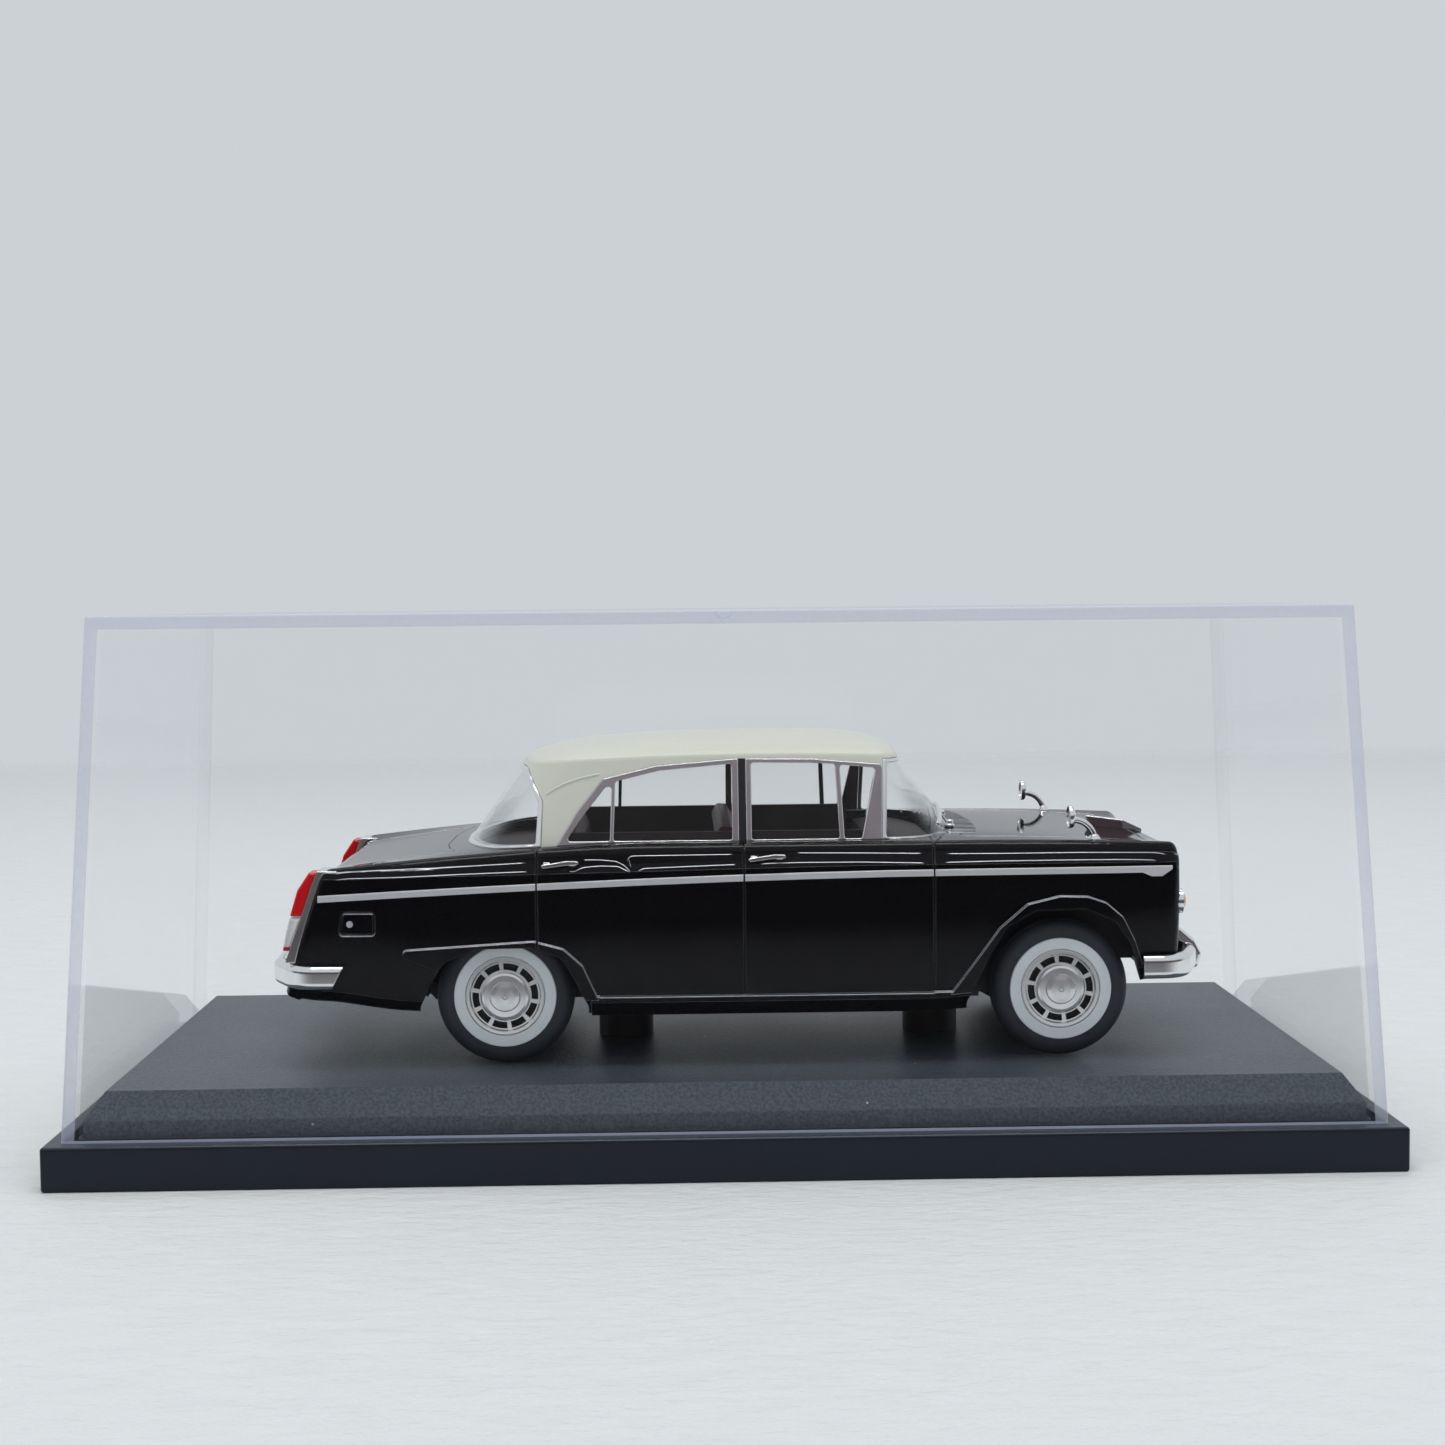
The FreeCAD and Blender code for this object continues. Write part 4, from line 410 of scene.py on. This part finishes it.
flank_lines = (
    ((-0.04386, 0.03142), (-0.04219, 0.03163), (-0.03832, 0.03179), (-0.03273, 0.03199), (-0.02125, 0.03255)),
    ((-0.04417, 0.03068), (-0.04215, 0.03094), (-0.03602, 0.03107), (-0.02935, 0.03134), (-0.02124, 0.0316)),
    ((-0.01581, 0.03277), (-0.0138, 0.03275), (-0.01203, 0.03257), (-0.01114, 0.03213), (-0.01037, 0.03138)),
    ((-0.01736, 0.03166), (-0.01669, 0.0315), (-0.0157, 0.03196), (-0.01381, 0.0321), (-0.01181, 0.03203),
     (-0.01092, 0.0316), (-0.01026, 0.03127)),
    ((-0.01025, 0.0316), (-0.01047, 0.03212), (-0.01069, 0.03277), (-0.01058, 0.0331), (-0.01002, 0.03315),
     (0.00144, 0.03318)),
    ((-0.00981, 0.03115), (-0.00948, 0.03159), (-0.00892, 0.03179), (-0.00381, 0.03195), (0.00153, 0.0321)),
    ((0.00757, 0.03327), (0.01516, 0.03317), (0.02253, 0.03303)),
    ((0.00354, 0.03213), (0.00844, 0.03223), (0.01512, 0.03221), (0.02281, 0.03201)),
    ((0.02388, 0.03298), (0.03083, 0.03291), (0.03986, 0.03288), (0.04872, 0.03272), (0.05028, 0.03237)),
    ((0.02393, 0.03205), (0.03078, 0.03211), (0.03753, 0.03211), (0.04432, 0.03205), (0.04908, 0.03191)))
bead_enamel = Finish("bead_enamel", IOR=1.5, Specular_IOR_Level=0.3)
bead_normal = Value(bead_enamel.node("NewGeometry").outputs["Normal"])
# Painted highlight: the beads' upward-turned side is coloured pale and part metallic.
upturn_for_highlight = bead_enamel.span(
    bead_enamel.axis("Z", bead_normal) + 0.7 * abs(bead_enamel.axis("X", bead_normal)), 0.42, 0.68, 0.0, 0.9)
bead_enamel.feed(bead_enamel.shader, {
    "Base Color": bead_enamel.blend(
        upturn_for_highlight, bead_enamel.blend(bead_enamel.noise(0.004), *enamel_blacks), painted_highlight_colour),
    "Metallic": upturn_for_highlight * painted_highlight_metallic,
    "Roughness": 0.05 + 0.1 * upturn_for_highlight})
for side, name in ((-1, "flank_beads_right"), (1, "flank_beads_left")):
    beads = [bead(flank, side, line, width=0.00026, rise=0.00009) for line in flank_lines]
    for single_bead in beads:
        single_bead.select_set(True)
    bpy.ops.object.join()
    flank_beads = bpy.context.object
    flank_beads.name = name
    bpy.ops.object.shade_smooth_by_angle(angle=math.radians(40))
    flank_beads.data.materials.append(bead_enamel.material)
    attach(flank_beads, "base")


# Glazing: thin clear mouldings for both screens and the door windows, set just inside the frames.
# They show little but the gloss at a flat angle.

glazing = Finish("glazing", Metallic=1.0, Base_Color=(0.9, 0.92, 0.93), Roughness=0.03)
glancing = Value(glazing.node("LayerWeight", None, {"Blend": 0.5}).outputs["Facing"])
glazing.feed(glazing.shader, {"Alpha": 0.006 + 0.014 * glazing.noise(0.004) + 0.93 * glancing ** 5})
glazing.wear("windscreen", "rear_screen", "side_glass_right", "side_glass_left")


# Roof: a separate casting in ivory enamel, with the rear pillars in one piece with it,
# set on the body behind the window frames.

roof_enamel = Finish("roof_enamel", IOR=1.5, Specular_IOR_Level=0.4)
roof_enamel.feed(roof_enamel.shader, {
    "Base Color": roof_enamel.blend(roof_enamel.noise(0.006), (0.63, 0.635, 0.55), (0.66, 0.665, 0.58)),
    "Roughness": 0.28 + 0.03 * roof_enamel.noise(0.006)})
roof_enamel.wear("roof_shell")


# Pillar beads: a fine raised line in the roof casting on each side, which runs from the rear screen
# to the side windows and marks off the pillar below it; painted with the roof.

pillar_line = ((-0.02012, 0.0397), (-0.01879, 0.04057), (-0.01766, 0.04111), (-0.01631, 0.04154),
               (-0.01496, 0.04186), (-0.0136, 0.0421))
for side, name in ((-1, "pillar_bead_right"), (1, "pillar_bead_left")):
    pillar_bead = bead(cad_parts["roof_shell"], side, pillar_line, width=0.00036, rise=0.00015)
    pillar_bead.name = name
    bpy.ops.object.shade_smooth_by_angle(angle=math.radians(40))
    pillar_bead.data.materials.append(roof_enamel.material)
    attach(pillar_bead, "base")


# Bright trim: plated mouldings pushed or glued on to the body. The window frames carry a painted dark reflection
# between painted highlights along their edges, the middle pillars black, and the strips along the flanks a duller
# silver.

def plating(name, edge):
    """Bright plating on a moulding whose edges are rounded to this radius in metres."""
    made = Finish(name, Metallic=1.0)
    made.feed(made.shader, {
        "Base Color": made.blend(made.noise(0.003), (0.82, 0.82, 0.83), (0.9, 0.9, 0.91)),
        "Roughness": 0.05 + 0.06 * made.noise(0.0015),
        "Normal": made.soften(edge)})
    return made


plating("surround_plating", 0.0003).wear("windscreen_surround", "rear_screen_surround")
frame_plating = plating("frame_plating", 0.00016)
# Painted highlights along the frames' edges, and a painted dark reflection over their middles.
painted_frame_highlight = frame_plating.edges(frame_plating.soften(0.00021))
painted_dark_reflection = frame_plating.blend(frame_plating.noise(0.003), (0.3, 0.26, 0.275), (0.42, 0.37, 0.39))
frame_plating.feed(frame_plating.shader, {
    "Base Color": frame_plating.blend(painted_frame_highlight, painted_dark_reflection, (0.94, 0.94, 0.95))})
frame_plating.wear("window_frames_right", "window_frames_left")
trim_plating = plating("trim_plating", 0.00016)
trim_plating.wear("door_handles", "boot_handle", "fender_mirrors", "bonnet_ornament", "wipers",
                  "front_bumper", "rear_bumper", "front_grille", "lamp_bezels", "tail_lamp_bezels")
post_plastic.wear("b_pillars")

satin_silver = Finish("satin_silver", Metallic=0.55)
satin_silver.feed(satin_silver.shader, {
    "Base Color": satin_silver.blend(satin_silver.noise(0.002), (0.8, 0.81, 0.84), (0.88, 0.89, 0.91)),
    "Roughness": 0.25 + 0.12 * satin_silver.noise(0.0006),
    "Normal": satin_silver.soften(0.00014)})
satin_silver.wear("side_strip_right", "side_strip_left")


# Cowl vent: a slim plated grating that fills the curve between the windscreen's foot and the bonnet,
# with the caps of the two wiper spindles standing on it.

def screen_foot(y):
    """How far forward the windscreen's foot reaches, at this distance from the middle."""
    ahead_of_screen = Vector((0.06, y, 0.0352))
    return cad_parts["windscreen"].ray_cast(ahead_of_screen, Vector((-1.0, 0.0, 0.0)))[1].x


cowl_half_width, cowl_sheet, screen_gap = 0.0128, 0.00022, 0.0001
cowl_strips, rib_every = 60, 3
cowl_front, cowl_sweep = 0.0299, 6.0
cowl_top, cowl_crown = 0.03466 + 0.00014, 0.9
bpy.ops.object.select_all(action="DESELECT")
bpy.ops.mesh.primitive_grid_add(x_subdivisions=5, y_subdivisions=cowl_strips, size=1.0)
cowl_vent = bpy.context.object
cowl_vent.name = "cowl_vent"
for point in cowl_vent.data.vertices:
    y = point.co.y * 2 * cowl_half_width
    back = screen_foot(y) + screen_gap
    front = cowl_front - cowl_sweep * y * y
    point.co = (back + (front - back) * (point.co.x + 0.5), y, cowl_top - cowl_crown * y * y)
strip_width = 2 * cowl_half_width / cowl_strips
pick_faces(cowl_vent, lambda face: abs(face.center.y) < cowl_half_width - strip_width
           and int((face.center.y + cowl_half_width) / strip_width) % rib_every != 0)
bpy.ops.mesh.inset(thickness=0.00007)
bpy.ops.transform.translate(value=(0.0, 0.0, -0.0001))
bpy.ops.object.mode_set(mode="OBJECT")
sheet = cowl_vent.modifiers.new("sheet", "SOLIDIFY")
sheet.thickness = cowl_sheet
sheet.offset = -1.0
bpy.ops.object.modifier_apply(modifier="sheet")
bpy.ops.object.shade_smooth_by_angle(angle=math.radians(30))
cowl_metal = Finish("cowl_metal", Metallic=1.0)
# Painted shade: the recessed slots between the ribs are coloured near-black.
in_slot = ((cowl_metal.axis("Y") + cowl_half_width) * (1 / strip_width)).math("MODULO", rib_every) > 1.0
cowl_metal.feed(cowl_metal.shader, {
    "Base Color": cowl_metal.blend(in_slot, (0.72, 0.73, 0.74), (0.03, 0.03, 0.035)),
    "Roughness": 0.12 + 0.1 * cowl_metal.noise(0.0006)})
cowl_vent.data.materials.append(cowl_metal.material)
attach(cowl_vent, "base")

spindle_radius, spindle_height, spindle_z, spindle_ahead = 0.00058, 0.0004, 0.0349, 0.00075
for number, y in enumerate((-0.0075, 0.0045)):
    bpy.ops.object.select_all(action="DESELECT")
    bpy.ops.mesh.primitive_cylinder_add(vertices=28, radius=spindle_radius, depth=spindle_height)
    spindle = bpy.context.object
    spindle.name = f"wiper_spindle_{number + 1}"
    pick_faces(spindle, lambda face: face.normal.z > 0.9)
    bpy.ops.mesh.inset(thickness=0.00014)
    bpy.ops.mesh.extrude_region_move(TRANSFORM_OT_translate={"value": (0.0, 0.0, spindle_height)})
    bpy.ops.mesh.inset(thickness=0.0001)
    bpy.ops.transform.translate(value=(0.0, 0.0, 0.00014))
    bpy.ops.object.mode_set(mode="OBJECT")
    edge = spindle.modifiers.new("edge", "BEVEL")
    edge.width = 0.00005
    edge.segments = 2
    bpy.ops.object.modifier_apply(modifier="edge")
    spindle.location = (screen_foot(y) + spindle_ahead, y, spindle_z)
    bpy.ops.object.transform_apply(location=True, rotation=False, scale=False)
    bpy.ops.object.shade_smooth_by_angle(angle=math.radians(30))
    spindle.data.materials.append(trim_plating.material)
    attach(spindle, "base")


# Lamps: small clear, amber and red ribbed lenses, moulded in plastic and pressed into plated rims.
# The clear lens at each side of the tail has a red strip at its foot.

def lens_finish(name, colour, clear):
    """Ribbed lens plastic of this colour, clear by this share."""
    lens = Finish(name, IOR=1.49, Transmission_Weight=clear, Base_Color=colour)
    lens.feed(lens.shader, {"Roughness": 0.06 + 0.06 * lens.noise(0.0006)})
    ribs = lens.node("TexWave", {"bands_direction": "Y"}, {"Vector": lens.place, "Scale": 700.0})
    lens.bump(Value(ribs.outputs[1]), 0.00004, 0.5)
    return lens


lens_finish("clear_lens", (0.9, 0.92, 0.92), 0.6).wear("headlamp_lenses")
tail_clear = (0.9, 0.9, 0.9)
reversing_lens = lens_finish("reversing_lens", tail_clear, 0.4)
foot_of_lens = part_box("tail_lamp_clear_lenses")[0].z
red_strip = reversing_lens.span(reversing_lens.axis("Z"), foot_of_lens + 0.00042, foot_of_lens + 0.00055, 1.0, 0.0)
reversing_lens.feed(reversing_lens.shader, {
    "Base Color": reversing_lens.blend(red_strip, tail_clear, (0.6, 0.01, 0.015))})
reversing_lens.wear("tail_lamp_clear_lenses")
lens_finish("amber_lens", (0.86, 0.5, 0.03), 0.3).wear("turn_lamp_lenses")
lens_finish("red_lens", (0.62, 0.004, 0.008), 0.05).wear("tail_lamp_red_lenses")


# Cover: one clear moulding of five walls with draft, which rests on the plinth's ledge and lifts off.
# Its corners and foot carry a painted pale lavender glow, standing in for light carried along the walls; the mark
# of the mould's gate stands on the front edge.

cover_clear = Finish("cover_clear")
cover_low, cover_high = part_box("clear_cover")
corner_band = 0.0015 * 0.96
draft = 3.15 / 55.7
height = cover_clear.axis("Z")
drawn_in = (height - cover_low.z) * draft
near_end = abs(cover_clear.axis("X")) + drawn_in > cover_high.x - corner_band
near_side = abs(cover_clear.axis("Y")) + drawn_in > cover_high.y - corner_band
near_top = height > cover_high.z - corner_band
# Painted glow: the corners and foot are coloured pale lavender and made less clear, weaker where seen from inside.
outside = 1 - Value(cover_clear.node("NewGeometry").outputs["Backfacing"])
painted_foot_glow = cover_clear.span(height, cover_low.z + 0.00022, cover_low.z + 0.00036, 1.0, 0.0)
painted_corner_glow = ((near_end + near_side + near_top > 1.5) + painted_foot_glow > 0.5) * (0.2 + 0.8 * outside)
glancing = Value(cover_clear.node("LayerWeight", None, {"Blend": 0.5}).outputs["Facing"])
gate_radius, gate_line = 0.0009, 0.00011
from_gate = (cover_clear.axis("X") ** 2 + (height - cover_high.z) ** 2) ** 0.5
gate_mark = (abs(from_gate - gate_radius) < gate_line) * (cover_clear.axis("Y") < 0.0)
streaks = cover_clear.noise(0.003, 4.0)
cover_clear.feed(cover_clear.shader, {
    "Base Color": cover_clear.blend(painted_corner_glow, (0.95, 0.96, 0.98), (0.56, 0.6, 0.74)),
    "Metallic": 1 - painted_corner_glow,
    "Roughness": 0.02 + 0.05 * streaks + 0.3 * painted_corner_glow,
    "Alpha": (0.008 + 0.006 * streaks + 0.95 * glancing ** 4.3
              + painted_corner_glow * (0.34 + 0.2 * streaks + 0.3 * painted_foot_glow) + 0.2 * gate_mark)})
cover_clear.wear("clear_cover")


# Table and room: a pale sheet with a fine texture, which fades into the plain pale wall behind it.
# In mirrors and gloss, the near part of the table and the room before it are dark.

bpy.ops.object.select_all(action="DESELECT")
bpy.ops.mesh.primitive_plane_add(size=1.0, location=(0.0, 0.0, 0.0))
table = bpy.context.object
table.name = "table"
table.scale = (4.0, 2.4, 1.0)
table.location = (0.0, -0.6, 0.0)
bpy.ops.object.transform_apply(location=True, rotation=False, scale=True)
table_sheet = Finish("table_sheet", IOR=1.45, Roughness=0.75)
strokes = table_sheet.node("Mapping", None, {"Vector": table_sheet.place, "Scale": (0.45, 1.0, 1.0)})
table_sheet.place = Value(strokes.outputs[0])
sheet_grain = table_sheet.noise(0.0016, 4.0, 0.6)
far_edge = table_sheet.span(table_sheet.axis("Y"), 0.5, 0.6, 1.0, 0.0)
sheet_colour = table_sheet.blend(table_sheet.noise(0.003, 3.0), (0.7, 0.715, 0.725), (0.765, 0.78, 0.79))
in_mirrors = Value(table_sheet.node("LightPath").outputs["Is Glossy Ray"])
near_part = table_sheet.span(table_sheet.axis("Y"), -0.15, -0.06, 1.0, 0.0)
table_sheet.feed(table_sheet.shader, {
    "Base Color": table_sheet.blend(in_mirrors * near_part, sheet_colour, (0.05, 0.04, 0.043)),
    "Alpha": far_edge})
table_sheet.bump(sheet_grain, 0.0007, 0.8)
table.data.materials.append(table_sheet.material)

world = bpy.data.worlds.new("studio")
bpy.context.scene.world = world
world.use_nodes = True
room = Shading(world.node_tree, "Generated")
mirrored = Value(room.node("LightPath").outputs["Is Glossy Ray"])
before_case = room.span(room.axis("Y"), -0.35, 0.1, 1.0, 0.0) * room.span(room.axis("Z"), 0.1, 0.4, 1.0, 0.0)
room.feed(room.tree.nodes["Background"], {
    "Color": room.blend(mirrored * before_case, (0.6, 0.635, 0.665), (0.075, 0.05, 0.056))})


# Light: a soft panel overhead and a slimmer, weaker one behind the case,
# both hung high and turned towards the model.

def soft_panel(name, place, aim, width, depth, power):
    """An even panel of light at this place, turned to the aim, with its size in metres and power in watts."""
    lamp = bpy.data.lights.new(name, "AREA")
    lamp.shape = "RECTANGLE"
    lamp.size, lamp.size_y = width, depth
    lamp.energy = power
    lamp.color = (1.0, 0.99, 0.97)
    panel = bpy.data.objects.new(name, lamp)
    panel.location = place
    panel.rotation_euler = (Vector(aim) - Vector(place)).to_track_quat("-Z", "Y").to_euler()
    bpy.context.scene.collection.objects.link(panel)


soft_panel("overhead_panel", (0.0, -0.1, 0.75), (0.0, 0.0, 0.02), width=0.5, depth=0.22, power=2.1)
soft_panel("far_panel", (0.0, 0.35, 0.7), (0.0, 0.0, 0.03), width=0.6, depth=0.12, power=0.5)


# Camera: level with the top of the case and a little to the left of its middle, a quarter of a metre away.
# Its distance in pixels from lens to picture and its angles in degrees were solved from the case's corners.

image_width, lens_pixels, sensor = 1445, 2072.065, 36.0
camera_place = (-0.004905, -0.248324, 0.06152)
looks_down, turned_right, tilted = 3.379, 1.218, 0.566
lens_of_photo = bpy.data.cameras.new("photo_camera")
lens_of_photo.sensor_width = sensor
lens_of_photo.lens = sensor * lens_pixels / image_width
lens_of_photo.clip_start = 0.01
camera = bpy.data.objects.new("photo_camera", lens_of_photo)
aim = Euler((math.radians(90 - looks_down), 0.0, math.radians(-turned_right))).to_matrix()
roll = Matrix.Rotation(math.radians(-tilted), 3, "Z")
camera.matrix_world = Matrix.Translation(camera_place) @ (aim @ roll).to_4x4()
bpy.context.scene.collection.objects.link(camera)
bpy.context.scene.camera = camera

bpy.context.scene.view_settings.view_transform = "Standard"
